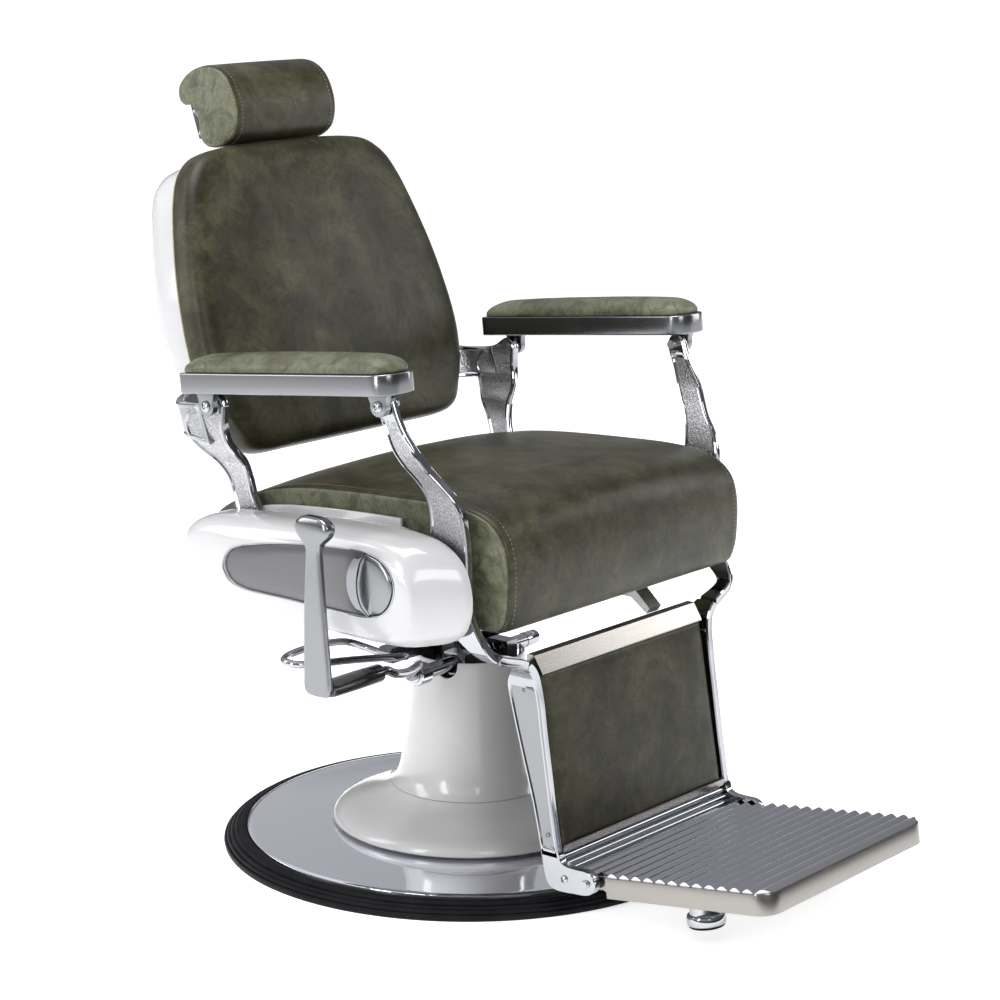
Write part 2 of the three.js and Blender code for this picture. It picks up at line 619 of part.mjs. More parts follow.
function buildKickPanel() {
  const across = (outline, bevel) => acrossX(outline, -KICK_HALF, KICK_HALF, bevel);
  add(chair, 'kick_board', across([[-238, 322], [-246, 322], [-287, 90], [-279, 90]], 0), 'blackPlastic');
  add(chair, 'kick_cushion', across([[-248.6, 313], [-262, 313], [-301, 92], [-287.7, 92]], 3), 'leather');
  add(chair, 'kick_trim', across([
    [-239, 323], [-239, 338], [-250, 338], [-264, 316], [-260, 314], [-248, 323],
  ], 0), 'chrome');
  add(chair, 'leg_cross_bar', pinX(9, -LEG_IN + GAP, LEG_IN - GAP, -230, 300), 'steel');
}

// ---- Footrest -----------------------------------------------------------------------------------
function ribbedTread(yFront, yRear, half) {
  const pitch = (yRear - yFront) / RIBS;
  const [low, floor, crest] = [TRAY_TOP + GAP, TRAY_TOP + 1.6, TRAY_TOP + 4];
  const outline = [[yRear, low], [yRear, floor]];
  for (let i = 0; i < RIBS; i += 1) {
    const y = yRear - i * pitch;
    outline.push([y - 0.2 * pitch, floor], [y - 0.35 * pitch, crest]);
    outline.push([y - 0.65 * pitch, crest], [y - 0.8 * pitch, floor]);
  }
  outline.push([yFront, floor], [yFront, low]);
  return acrossX(outline, -half, half, 0);
}

// Pan open underneath, wider ahead of the castings than between them.
function footrestPan() {
  const widen = -24;
  const pan = join(
    acrossZ(roundedFront(TRAY_HALF, TRAY_FRONT, widen, 30), TRAY_LOW, TRAY_TOP, 1),
    box(-KICK_HALF, KICK_HALF, widen - 5, TRAY_REAR, TRAY_REAR_LOW, TRAY_TOP),
  );
  const inside = roundedFront(TRAY_HALF - SHEET, TRAY_FRONT + SHEET, widen - SHEET, 27);
  const pocket = join(
    acrossZ(inside, TRAY_LOW - 5, TRAY_TOP - SHEET, 0),
    box(SHEET - KICK_HALF, KICK_HALF - SHEET, widen - 10, TRAY_REAR - SHEET, TRAY_LOW - 5, TRAY_TOP - SHEET),
  );
  return cut(pan, pocket, pinX(ROD_R + GAP, -200, 200, 0, 0));
}

function buildFootrest() {
  const rest = tiltedGroup(...TRAY_PIVOT, TRAY_SLOPE);
  add(rest, 'footrest_tray', footrestPan(), 'steel');
  add(rest, 'footrest_tread', ribbedTread(TRAY_FRONT + 12, TRAY_REAR - 4, KICK_HALF - 6), 'steel');
  add(rest, 'footrest_rod', pinX(ROD_R, -LEG_OUT - 4, LEG_OUT + 4, 0, 0), 'chrome');
  const underside = TRAY_TOP - SHEET - GAP;
  const foot = turned([
    [0, -60], [22, -60], [25, -56], [25, -44], [20, -40], [20, underside], [0, underside],
  ], 24).translate(120, -131, 0);
  addPair(rest, 'footrest_foot', foot, 'rubber');
}

buildBase();
buildBell();
buildPump();
buildPumpLever();
buildLockLoop();
buildSeatFrame();
buildSeatCushion();
buildPods();
buildRearPosts();
buildBack();
buildHeadrest();
for (const side of [1, -1]) {
  buildArm(side);
}
buildLegCastings();
buildKickPanel();
buildFootrest();

export default chair;
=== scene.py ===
"""Looks of the hydraulic barber chair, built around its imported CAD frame. Tables are in millimetres."""

from math import atan2, copysign, cos, pi, radians, sin, sqrt

import bmesh
import bpy
import numpy as np
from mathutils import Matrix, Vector
from numpy.linalg import norm


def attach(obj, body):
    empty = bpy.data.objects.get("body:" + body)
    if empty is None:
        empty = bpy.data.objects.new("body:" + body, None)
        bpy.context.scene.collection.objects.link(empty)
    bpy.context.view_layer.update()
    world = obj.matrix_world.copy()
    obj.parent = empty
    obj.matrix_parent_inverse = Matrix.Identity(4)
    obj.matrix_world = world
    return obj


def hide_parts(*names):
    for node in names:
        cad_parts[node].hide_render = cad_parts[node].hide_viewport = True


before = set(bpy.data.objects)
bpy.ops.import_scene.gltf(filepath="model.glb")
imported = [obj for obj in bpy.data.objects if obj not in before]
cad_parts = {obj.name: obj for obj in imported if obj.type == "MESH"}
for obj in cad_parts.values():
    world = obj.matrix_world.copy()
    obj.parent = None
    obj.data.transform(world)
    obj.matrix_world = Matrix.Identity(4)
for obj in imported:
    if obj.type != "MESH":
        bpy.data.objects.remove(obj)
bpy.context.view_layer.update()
MM = 0.001
SIDES = ((1, "left"), (-1, "right"))  # the sitter's sides, by the sign of x


# Where the own frame of each part that leans starts, as (y, z), and the angle by which it leans back
BACK_ORIGIN, BACK_LEAN = (212, 547), radians(19)
ARM_ORIGIN, ARM_SLOPE, ARM_X = (200, 643), radians(5.92), 304
TRAY_ORIGIN, TRAY_SLOPE = (-349, 61), radians(8)

# Camera solved from the photo: metres, degrees, and millimetres for the lens and its sensor
TARGET, DISTANCE = Vector((0, -0.05345, 0.48066)), 3.7312
AZIMUTH, ELEVATION = radians(-50.45), radians(12.585)
LENS, SENSOR = 100.36, 36
TO_CAMERA, TO_LEFT = (-0.771, -0.637, 0), (-0.637, 0.771, 0)  # level directions, as the picture shows them
FLOOR_SIZE, FLOOR_LEVEL = 30, -0.0005


# ---- Shader nodes ----
def feed(node, inputs):
    """Gives inputs of a node, by name or number, a plain value or a link from another node's output."""
    for socket, value in inputs.items():
        if isinstance(value, bpy.types.NodeSocket):
            node.id_data.links.new(value, node.inputs[socket])
        else:
            node.inputs[socket].default_value = value
    return node


def add_node(tree, kind, inputs, output=0, **settings):
    """Output socket, by name or number, of a new shader node."""
    node = tree.nodes.new("ShaderNode" + kind)
    for setting, value in settings.items():
        setattr(node, setting, value)
    return feed(node, inputs).outputs[output]


def add_ramp(tree, value, stops):
    """Colour ramp over a value; each stop is a place and a colour or a grey."""
    color = add_node(tree, "ValToRGB", {"Fac": value})
    elements = color.node.color_ramp.elements
    while len(elements) < len(stops):
        elements.new(0.5)
    for element, (place, tone) in zip(elements, stops):
        element.position = place
        element.color = (*tone, 1) if isinstance(tone, tuple) else (tone, tone, tone, 1)
    return color


def add_object(name, data):
    thing = bpy.data.objects.new(name, data)
    bpy.context.scene.collection.objects.link(thing)
    return thing


# ---- Camera, floor and light ----
def make_stage():
    camera = add_object("camera", bpy.data.cameras.new("camera"))
    back = Vector((sin(AZIMUTH) * cos(ELEVATION), -cos(AZIMUTH) * cos(ELEVATION), sin(ELEVATION)))
    camera.location = TARGET + back * DISTANCE
    camera.rotation_mode = "QUATERNION"
    camera.rotation_quaternion = (-back).to_track_quat("-Z", "Y")
    camera.data.sensor_width, camera.data.lens = SENSOR, LENS
    bpy.context.scene.camera = camera

    bm = bmesh.new()
    bmesh.ops.create_grid(bm, x_segments=1, y_segments=1, size=FLOOR_SIZE)
    mesh = bpy.data.meshes.new("floor")
    bm.to_mesh(mesh)
    bm.free()
    floor = add_object("floor", mesh)
    floor.location.z = FLOOR_LEVEL
    paint = bpy.data.materials.new("floor")
    paint.use_nodes = True
    tree = paint.node_tree
    spot = add_node(tree, "TexCoord", {}, "Object")
    nearness = add_node(tree, "VectorMath", {0: spot, 1: TO_CAMERA}, "Value", operation="DOT_PRODUCT")
    limits = {"From Min": 0.75, "From Max": 2.0, "To Min": 1.0, "To Max": 0.62}
    grey = add_node(tree, "MapRange", {"Value": nearness, **limits}, interpolation_type="SMOOTHSTEP")
    feed(tree.nodes["Principled BSDF"], {"Base Color": grey, "Emission Color": grey, "Emission Strength": 0.62,
                                         "Roughness": 0.8, "Specular IOR Level": 0.0})
    mesh.materials.append(paint)
    bpy.context.scene.view_settings.view_transform = "Standard"


def soft_box(name, place, size, power):
    """Rectangular lamp that faces the middle of the chair."""
    data = bpy.data.lights.new(name, "AREA")
    data.shape = "RECTANGLE"
    data.size, data.size_y = size
    data.energy = power
    light = add_object(name, data)
    light.location = place
    light.rotation_mode = "QUATERNION"
    light.rotation_quaternion = (Vector((0, 0, 0.6)) - Vector(place)).to_track_quat("-Z", "Y")


def make_light():
    """Bright from above and from the picture's left, darker to its right, so that chrome reads as chrome."""
    world = bpy.data.worlds.new("studio")
    bpy.context.scene.world = world
    world.use_nodes = True
    tree = world.node_tree
    tree.nodes.clear()
    direction = add_node(tree, "TexCoord", {}, "Generated")
    height = add_node(tree, "SeparateXYZ", {0: direction}, "Z")
    bands = [(0.0, 0.45), (0.06, 0.14), (0.16, 0.2), (0.3, 0.62), (0.5, 0.5), (0.72, 0.85), (1.0, 1.0)]
    sky = add_ramp(tree, height, [(at, (level * 0.98, level * 0.99, level * 1.03)) for at, level in bands])
    leftness = add_node(tree, "VectorMath", {0: direction, 1: TO_LEFT}, "Value", operation="DOT_PRODUCT")
    limits = {"From Min": -0.8, "From Max": 0.7, "To Min": 0.3, "To Max": 1.0}
    strength = add_node(tree, "MapRange", {"Value": leftness, **limits})
    studio = add_node(tree, "Background", {"Color": sky, "Strength": strength})
    feed(tree.nodes.new("ShaderNodeOutputWorld"), {"Surface": studio})
    soft_box("left", (-1.9, 2.0, 1.7), (0.8, 1.8), 18)
    soft_box("edge", (-2.6, 0.1, 1.2), (0.5, 1.6), 17)
    soft_box("top", (-0.5, 0.1, 2.9), (1.6, 1.6), 42)
    soft_box("front", (-1.6, -3.0, 2.0), (1.4, 1.4), 26)
    soft_box("right", (2.2, -1.4, 1.5), (0.5, 1.6), 14)


# ---- Materials ----
class Finish:
    """A Principled material with a few node shortcuts; textures run in object space, in metres."""

    def __init__(self, name, color, roughness, metallic=0.0, coat=0.0, sheen=0.0, specular=0.5):
        self.material = bpy.data.materials.new(name)
        self.material.use_nodes = True
        self.tree = self.material.node_tree
        self.shader = feed(self.tree.nodes["Principled BSDF"], {
            "Base Color": (*color, 1), "Roughness": roughness, "Metallic": metallic, "Coat Weight": coat,
            "Coat Roughness": 0.05, "Sheen Weight": sheen, "Sheen Roughness": 0.4, "Specular IOR Level": specular,
        })
        self.coordinates = self.node("TexCoord", {}, "Object")

    def node(self, kind, inputs, output=0, **settings):
        return add_node(self.tree, kind, inputs, output, **settings)

    def stretched(self, scale):
        return self.node("Mapping", {"Scale": scale, "Vector": self.coordinates})

    def noise(self, scale, detail, roughness=0.55, distortion=0.0, where=None):
        return self.node("TexNoise", {"Scale": scale, "Detail": detail, "Roughness": roughness,
                                      "Distortion": distortion, "Vector": where or self.coordinates}, "Fac")

    def cells(self, scale, feature="F1", where=None):
        inputs = {"Scale": scale, "Vector": where or self.coordinates}
        return self.node("TexVoronoi", inputs, "Distance", feature=feature)

    def warped(self, amount):
        """Object coordinates pushed about by noise, so that cells lose their straight edges."""
        texture = self.node("TexNoise", {"Scale": 18, "Vector": self.coordinates}, "Color")
        push = self.node("VectorMath", {0: texture, "Scale": amount}, operation="SCALE")
        return self.node("VectorMath", {0: self.coordinates, 1: push})

    def ramp(self, value, stops):
        return add_ramp(self.tree, value, stops)

    def multiplied(self, a, b, factor):
        inputs = {"Factor": factor, "A": a, "B": b}
        return self.node("Mix", inputs, "Result", data_type="RGBA", blend_type="MULTIPLY")

    def color(self, value):
        feed(self.shader, {"Base Color": value})

    def gloss(self, value, low, high):
        feed(self.shader, {"Roughness": self.node("MapRange", {"To Min": low, "To Max": high, "Value": value})})

    def bump(self, value, distance, strength):
        """Adds a bump in metres to those already there."""
        inputs = {"Distance": distance, "Strength": strength, "Height": value}
        previous = self.shader.inputs["Normal"].links
        if previous:
            inputs["Normal"] = previous[0].from_socket
        feed(self.shader, {"Normal": self.node("Bump", inputs)})


def leather(name, dark, middle, pale):
    finish = Finish(name, middle, 0.45, sheen=0.03, specular=0.36)
    base = finish.ramp(finish.noise(11, 8, 0.66, 0.7), [(0.34, dark), (0.5, middle), (0.68, pale)])
    veins = finish.ramp(finish.noise(26, 6, 0.75, 1.8), [(0.4, 0.55), (0.49, 1.0), (0.53, 1.4), (0.57, 0.95)])
    base = finish.multiplied(base, veins, 0.75)
    creases = finish.ramp(finish.cells(34, "DISTANCE_TO_EDGE", finish.warped(0.05)), [(0.0, 0.75), (0.05, 1.0)])
    finish.color(finish.multiplied(base, creases, 0.35))
    finish.gloss(finish.noise(30, 4), 0.3, 0.5)
    finish.bump(finish.noise(14, 4), 0.0014, 0.5)
    finish.bump(finish.cells(700), 0.00022, 0.4)
    return finish.material


def chrome(name, color, low=0.03, high=0.11):
    finish = Finish(name, color, 0.06, 1.0)
    finish.gloss(finish.noise(14, 5), low, high)
    finish.bump(finish.noise(35, 2), 0.0004, 0.12)
    return finish.material


def shaded(color, share):
    return tuple(part * share for part in color)


def brushed(name, color, along, rough, contrast=1.0):
    """Long fine grain along one axis of the chair."""
    finish = Finish(name, color, rough, 1.0)
    grain = finish.noise(1, 3, 0.6, where=finish.stretched([12 if axis == along else 900 for axis in range(3)]))
    dark, pale = shaded(color, 1 - 0.2 * contrast), shaded(color, 1 + 0.18 * contrast)
    finish.color(finish.ramp(grain, [(0.35, dark), (0.5, color), (0.65, pale)]))
    finish.gloss(grain, rough - 0.08, rough + 0.12)
    finish.bump(grain, 0.00004, 0.5 * contrast)
    return finish.material


def hammered(name, dark, middle, pale):
    finish = Finish(name, middle, 0.3, 1.0)
    pits = finish.cells(520, "SMOOTH_F1")
    finish.color(finish.ramp(pits, [(0.1, dark), (0.45, middle), (0.8, pale)]))
    finish.gloss(finish.noise(300, 2), 0.22, 0.38)
    finish.bump(pits, 0.0008, 0.7)
    return finish.material


def mottled(name, color, roughness, stops, blotches, gloss=None, grain=None, **shader):
    """Finish whose colour, gloss and surface follow noises, each given by scale and detail and then its effect."""
    finish = Finish(name, color, roughness, **shader)
    finish.color(finish.ramp(finish.noise(*blotches), stops))
    if gloss:
        finish.gloss(finish.noise(*gloss[:2]), *gloss[2:])
        finish.bump(finish.noise(*grain[:2]), *grain[2:])
    return finish.material


def gloss_paint(name, color):
    return mottled(name, color, 0.22, [(0.3, shaded(color, 0.97)), (0.7, color)], (6, 3), (20, 3, 0.16, 0.26),
                   (60, 2, 0.0002, 0.12), coat=0.7)


def rubber(name, color):
    dust = tuple(part * 1.6 + 0.004 for part in color)
    return mottled(name, color, 0.55, [(0.4, color), (0.75, dust)], (25, 5), (40, 3, 0.38, 0.6),
                   (900, 2, 0.0002, 0.3), specular=0.14)


PAINTS = {
    "leather": leather("olive_leather", (0.013, 0.0115, 0.004), (0.032, 0.0295, 0.0125), (0.062, 0.06, 0.029)),
    # Lighter copy of the olive leather for the cushion sides and arm pads: painted light, the light that falls on these
    # faces put into their colour
    "leather_lit_copy": leather("olive_leather_lit_copy", (0.066, 0.067, 0.04), (0.115, 0.12, 0.076), (0.165, 0.175, 0.113)),
    "thread": mottled(
        "tan_thread", (0.42, 0.36, 0.24), 0.7, [(0.3, (0.3, 0.25, 0.16)), (0.7, (0.5, 0.43, 0.3))], (700, 2)),
    "chrome": chrome("polished_chrome", (0.44, 0.45, 0.47)),
    "dark_chrome": chrome("shaded_chrome", (0.26, 0.27, 0.29)),
    "dish": chrome("dish_chrome", (0.92, 0.94, 1.0), 0.01, 0.03),
    "satin": chrome("satin_chrome", (0.26, 0.265, 0.275), 0.16, 0.26),
    "hammered": hammered("hammered_casting", (0.24, 0.24, 0.25), (0.42, 0.42, 0.43), (0.58, 0.58, 0.58)),
    "inset": brushed("brushed_inset", (0.165, 0.165, 0.17), 1, 0.3, 0.2),
    "tread": brushed("tread_steel", (0.6, 0.6, 0.655), 0, 0.1, 0.1),
    "warm_steel": brushed("warm_steel", (0.31, 0.295, 0.275), 0, 0.22, 0.2),
    "steel": brushed("plain_steel", (0.42, 0.42, 0.41), 0, 0.34),
    "white": gloss_paint("white_gloss", (0.59, 0.59, 0.595)),
    "bell": gloss_paint("bell_gloss", (0.61, 0.6, 0.595)),
    "rubber": rubber("moulded_rubber", (0.003, 0.003, 0.0045)),
    "gloss_black": mottled(
        "gloss_black", (0.01, 0.01, 0.012), 0.12, [(0.3, (0.008, 0.008, 0.009)), (0.7, (0.016, 0.016, 0.018))],
        (30, 3), (50, 3, 0.08, 0.2), (90, 2, 0.0002, 0.2), coat=1.0),
    "black": rubber("black_plastic", (0.01, 0.01, 0.011)),
    "iron": mottled(
        "painted_iron", (0.05, 0.05, 0.053), 0.5, [(0.3, (0.035, 0.035, 0.0371)), (0.7, (0.05, 0.05, 0.053))],
        (60, 4), (80, 3, 0.35, 0.6), (350, 3, 0.0004, 0.4), metallic=0.6),
}


# ---- Mesh helpers ----
def shade(mesh, sharp):
    mesh.shade_smooth()
    mesh.set_sharp_from_angle(angle=radians(sharp))


def new_object(name, points, faces, paints, body, node=None, sharp=40, face_paints=None):
    """A finished piece from points in millimetres: merged, faces out, shaded smooth up to the sharp angle."""
    mesh = bpy.data.meshes.new(name)
    mesh.from_pydata([tuple(np.asarray(point, float) * MM) for point in points], [], faces)
    for paint in paints:
        mesh.materials.append(PAINTS[paint])
    if face_paints is not None:
        mesh.polygons.foreach_set("material_index", face_paints)
    bm = bmesh.new()
    bm.from_mesh(mesh)
    bmesh.ops.remove_doubles(bm, verts=bm.verts, dist=1e-6)
    bmesh.ops.recalc_face_normals(bm, faces=bm.faces)
    bm.to_mesh(mesh)
    bm.free()
    shade(mesh, sharp)
    piece = add_object(name, mesh)
    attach(piece, body)
    if node:
        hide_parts(*([node] if isinstance(node, str) else node))
    return piece


def boolean(piece, other, operation="UNION"):
    """Joins the other piece to this one or cuts it away; the other piece goes."""
    modifier = piece.modifiers.new("cut", "BOOLEAN")
    modifier.object = other
    modifier.operation = operation
    modifier.solver = "EXACT"
    bpy.context.view_layer.update()
    graph = bpy.context.evaluated_depsgraph_get()
    mesh = bpy.data.meshes.new_from_object(piece.evaluated_get(graph))
    old = piece.data
    piece.modifiers.clear()
    piece.data = mesh
    bpy.data.meshes.remove(old)
    shade(mesh, 40)
    bpy.data.objects.remove(other)


def loft_faces(rings, count, closed=False):
    """Quads between rings of the same count; a loft that isn't closed gets a flat face at either end."""
    faces = []
    for r in range(rings if closed else rings - 1):
        after = (r + 1) % rings
        for i in range(count):
            j = (i + 1) % count
            faces.append((r * count + i, r * count + j, after * count + j, after * count + i))
    if not closed:
        faces.append(tuple(reversed(range(count))))
        faces.append(tuple(range((rings - 1) * count, rings * count)))
    return faces


def lofted(name, rings, paint, body, node=None, closed=False, sharp=40):
    points = [point for ring in rings for point in ring]
    faces = loft_faces(len(rings), len(rings[0]), closed)
    return new_object(name, points, faces, [paint], body, node, sharp)


def full_turn(count):
    return np.linspace(0, 2 * pi, count, endpoint=False)


def spun(name, profile, paint, body, node=None, segments=160, place=None, closed=False):
    """Profile of radius and height turned about the column's axis, or about a line along X through a given place."""
    rings = []
    for radius, height in profile:
        ring = [(radius * cos(turn), radius * sin(turn), height) for turn in full_turn(segments)]
        if place:
            ring = [np.add((along, across, up), place) for across, up, along in ring]
        rings.append(ring)
    return lofted(name, rings, paint, body, node, closed, 35)


def unit(vector):
    return vector / norm(vector)


def distances(path):
    """Length of a path up to each of its points."""
    return np.concatenate([[0], np.cumsum(norm(np.diff(path, axis=0), axis=1))])


def sampled(path, lengths, at):
    return np.stack([np.interp(at, lengths, column) for column in path.T], -1)


def beside(path, k, closed=False):
    """Points before and after point k; an open path stops at its ends."""
    n = len(path)
    return (path[(k - 1) % n], path[(k + 1) % n]) if closed else (path[max(k - 1, 0)], path[min(k + 1, n - 1)])


def smooth_through(points, count, closed=False):
    """Evenly spaced points on a centripetal curve through the given ones."""
    p = np.asarray(points, float)
    n = len(p)
    ends = (p[-1], p[0]) if closed else (2 * p[0] - p[1], 2 * p[-1] - p[-2])
    padded = np.vstack([ends[0], p, ends[1], p[1] if closed else ends[1] * 2 - p[-1]])
    fine = []
    for k in range(n if closed else n - 1):
        a, b, c, d = padded[k:k + 4]
        ab, bc, cd = (max(norm(q - r), 1e-6) ** 0.5 for q, r in ((b, a), (c, b), (d, c)))
        start = bc * ((b - a) / ab - (c - a) / (ab + bc) + (c - b) / bc)
        finish = bc * ((c - b) / bc - (d - b) / (bc + cd) + (d - c) / cd)
        for t in np.linspace(0, 1, 24, endpoint=False):
            fine.append((2 * t ** 3 - 3 * t ** 2 + 1) * b + (t ** 3 - 2 * t ** 2 + t) * start
                        + (3 * t ** 2 - 2 * t ** 3) * c + (t ** 3 - t ** 2) * finish)
    fine.append(fine[0] if closed else p[-1])
    fine = np.array(fine)
    lengths = distances(fine)
    spaced = sampled(fine, lengths, np.linspace(0, lengths[-1], count + 1 if closed else count))
    return spaced[:-1] if closed else spaced


def inward(outline, amount, centre=None):
    """Outline drawn in by about the same amount all round."""
    outline = np.asarray(outline, float)
    centre = (outline.max(0) + outline.min(0)) / 2 if centre is None else centre
    reach = np.abs(outline - centre).max(0)
    return centre + (outline - centre) * (reach - amount) / reach


def shrunk(outline, scale, centre):
    return centre + (np.asarray(outline) - centre) * scale


def at_x(x, outline):
    """Side outline (y, z) set up at one x."""
    return [(x, y, z) for y, z in outline]


def tube(name, points, radius, paint, body, node=None, count=90, sides=20, closed=False):
    path = smooth_through(points, count, closed)
    rings = []
    side = None
    for k, spot in enumerate(path):
        before, after = beside(path, k, closed)
        along = unit(after - before)
        if side is None:
            side = np.cross(along, (0.1, 0.2, 1.0))
        side = unit(side - along * np.dot(side, along))
        other = np.cross(along, side)
        rings.append([spot + radius * (cos(t) * side + sin(t) * other) for t in full_turn(sides)])
    return lofted(name, rings, paint, body, node, closed)


def tilted(origin, angle, x=0.0):
    """Turns local millimetres (x, rearward, up) into chair coordinates for a part that leans back by angle."""
    (y, z), c, s = origin, cos(angle), sin(angle)
    return lambda p: (x + p[0], y + p[1] * c + p[2] * s, z - p[1] * s + p[2] * c)


on_back = tilted(BACK_ORIGIN, BACK_LEAN)


def on_edge(side, place=tuple):
    """Placing for a slab on edge: its outline is (rear, up) and its height runs outward on one side."""
    return lambda point: place((side * point[2], point[0], point[1]))


def slab(name, outline, low, high, edge, paint, body, place, node=None):
    """Plate of a flat outline between two heights, with rounded edges; place maps (u, v, height) to the chair."""
    outline = np.asarray(outline, float)
    centre = outline.mean(0)
    reach = np.abs(outline - centre).max(0)
    turns = np.linspace(0, pi / 2, 5)
    levels = [(turn, low + edge - edge * cos(turn)) for turn in turns]
    levels += [(turn, high - edge + edge * cos(turn)) for turn in turns[::-1]]
    rings = []
    for turn, level in levels:
        scale = (reach - edge * (1 - sin(turn))) / reach
        rings.append([place((*spot, level)) for spot in shrunk(outline, scale, centre)])
    return lofted(name, rings, paint, body, node)


def screw(name, spot, radius, body, side, paint="chrome", proud=2.2):
    """Low domed screw head on a face that looks sideways."""
    rows = [(radius, 0.0), (radius, proud * 0.35), (radius * 0.8, proud * 0.75), (radius * 0.45, proud),
            (radius * 0.38, proud * 0.55), (0.01, proud * 0.5)]
    profile = [(r, side * h) for r, h in rows]
    return spun(name, [(0.01, 0.0), *profile], paint, body, segments=24, place=spot)


def stitches(name, path, normals, body, length, gap, thick):
    """Short raised threads laid end to end along a seam."""
    path, normals = np.asarray(path, float), np.asarray(normals, float)
    reach = distances(path)
    points, faces = [], []
    at = gap
    while at + length < reach[-1]:
        middle = at + length * 0.5
        ends = sampled(path, reach, (at, middle, at + length))
        lift = unit(sampled(normals, reach, middle))
        across = np.cross(unit(ends[2] - ends[0]), lift)
        first = len(points)
        for k, (size, rise) in enumerate(((0.25, -0.1), (1.0, 0.35), (0.25, -0.1))):
            for turn in full_turn(6):
                up, wide = rise + sin(turn) * thick * size, cos(turn) * thick * size
                points.append(ends[k] + lift * up + across * wide)
            if k:
                a, b = first + (k - 1) * 6, first + k * 6
                faces += [(a + i, a + (i + 1) % 6, b + (i + 1) % 6, b + i) for i in range(6)]
        faces += [tuple(range(first, first + 6)), tuple(range(first + 12, first + 18))]
        at += length + gap
    new_object(name, points, faces, ["thread"], body)


# ---- Base and pump column ----
def build_base():
    steps = [(297, 0), (339, 0)]
    for radius, level in ((340, 6.5), (336, 11), (331, 15), (325, 18.6)):
        steps += [(radius - back, level + rise) for back, rise in ((0, -2.6), (0.6, 0), (2.2, 1.3), (4.2, 0.9))]
    steps += [(317, 21), (311, 21.6), (309.2, 20.6), (309.2, 8), (297, 8)]
    spun("base_rubber_ring", steps, "rubber", "base", "base_ring", 200, closed=True)
    rise = [(309 * t, 24.2 + 3.4 * (1 - t ** 3)) for t in np.linspace(0.02, 0.96, 16)]
    rim = [(301, 24.6), (305, 24.2), (307.6, 22.6), (308.4, 20), (308.4, 8.4)]
    profile = [(0.01, 8.4), *reversed(rim), *reversed(rise)]
    spun("base_chrome_dish", profile, "dish", "base", "base_dish", 220)


def build_column():
    skirt = [(61, 30), (186, 30), (189, 31), (190.4, 33.2), (190, 36.4), (187, 41), (181, 46), (171, 50.8),
             (158, 55.6), (145, 60.3), (133, 65.1), (123, 70), (115, 75), (109.5, 79.9), (104, 80.2), (61, 80.2)]
    spun("column_skirt", skirt, "bell", "base", "column_flange", closed=True)
    outside = smooth_through([(109, 80.7), (103.5, 87), (99, 96), (95.4, 110), (90, 145), (84.5, 190), (79, 232),
                              (75.8, 262)], 30).tolist()
    rolled = [(75.2, 264.4), (74, 265), (72.6, 264.4), (72, 262)]
    inside = [(r - 4, z) for r, z in reversed(outside)]
    wall = [*outside, *rolled, *inside]
    bell = spun("column_cover", wall, "bell", "pump_unit", "column_bell", closed=True)
    y, z, radius = -20, 258, 15
    arch = [(y + radius * cos(t), z + radius * sin(t)) for t in np.linspace(pi, 2 * pi, 24)]
    arch += [(y + radius, 280), (y - radius, 280)]
    boolean(bell, lofted("notch", [at_x(x, arch) for x in (-130, 130)], "bell", "pump_unit"), "DIFFERENCE")


def build_pump_controls():
    y, z = -20, 261  # the axis of the pump shaft
    knurl = [(0.01, -138), (9, -138), (9.6, -136.5), (14.2, -136.5), (15, -135.6), (15, -117), (14, -115.6),
             (10, -114), (10, -30), (0.01, -30)]
    spun("pump_cross_shaft", knurl, "chrome", "pump_lever", "pump_shaft", 48, (0, y, z))
    stub = [(0.01, 30), (10, 30), (10, 90), (10.8, 90.6), (10.8, 114), (9.4, 116.6), (4.2, 117), (4, 113), (0.01, 113)]
    spun("release_shaft_end", stub, "chrome", "pump_unit", "release_shaft", 48, (0, y, z))
    rod_route = [(-138.6, y, z), (-145, y, z), (-154, -26, 267), (-161, -44, 283), (-176, -62, 292), (-215, -78, 294),
                 (-252, -89, 302), (-272, -91, 311), (-284.6, -91, 311)]
    tube("pump_lever_rod", rod_route, 6, "chrome", "pump_lever", "lever_rod")
    pedal = [(0.01, -285), (9.5, -285), (11.4, -286), (12, -288.5), (12.3, -330), (12, -372), (11.2, -378),
             (9, -379.7), (0.01, -379.7)]
    spun("pump_pedal_grip", pedal, "gloss_black", "pump_lever", "pump_pedal", 48, (0, -91, 311))
    loop_route = [(-126, 34.6, 278.5), (-126, 15, 278.5), (-130, 1, 282), (-147, -9, 287), (-182, -2, 292),
                  (-232, 12, 297), (-282, 24, 301), (-305, 36, 303), (-307, 54, 304), (-289, 70, 303), (-240, 86, 300),
                  (-180, 94, 295), (-145, 92, 289), (-130, 77, 282), (-126, 58, 278.5), (-126, 35.4, 278.5)]
    tube("lock_loop_rod", loop_route, 5, "chrome", "lock_lever", "lock_loop", count=160)


def build_handle():
    """Flat tapered bar that swells into a teardrop knob; front and rear edges in Y against height."""
    rows = [  # height, front y, rear y, half thickness
        (301.5, -90, -70, 4), (303, -98, -63, 5), (308, -101, -58.5, 5.5), (330, -100, -58, 5.5),
        (380, -95.5, -59, 5.5), (430, -91, -61, 5.5), (470, -88, -63.5, 5.5), (488, -87.5, -64.5, 6),
        (494, -89.5, -63, 7), (500, -96, -57.5, 8.5), (507, -103, -51.5, 10), (514, -106, -48.5, 10.5),
        (521, -104.5, -50, 10), (527, -98, -55.5, 8.2), (530.3, -88, -65, 4.5),
    ]

    def squarish(value):
        return copysign(abs(value) ** 0.45, value)

    rings = []
    for level, low, high, half in smooth_through(rows, 70):
        middle, reach = (low + high) / 2, (high - low) / 2
        rings.append([(-385.6 + half * squarish(sin(turn)), middle + reach * squarish(cos(turn)), level)
                      for turn in full_turn(36)])
    lofted("pump_handle", rings, "satin", "pump_lever", ["lever_handle", "lever_knob"])


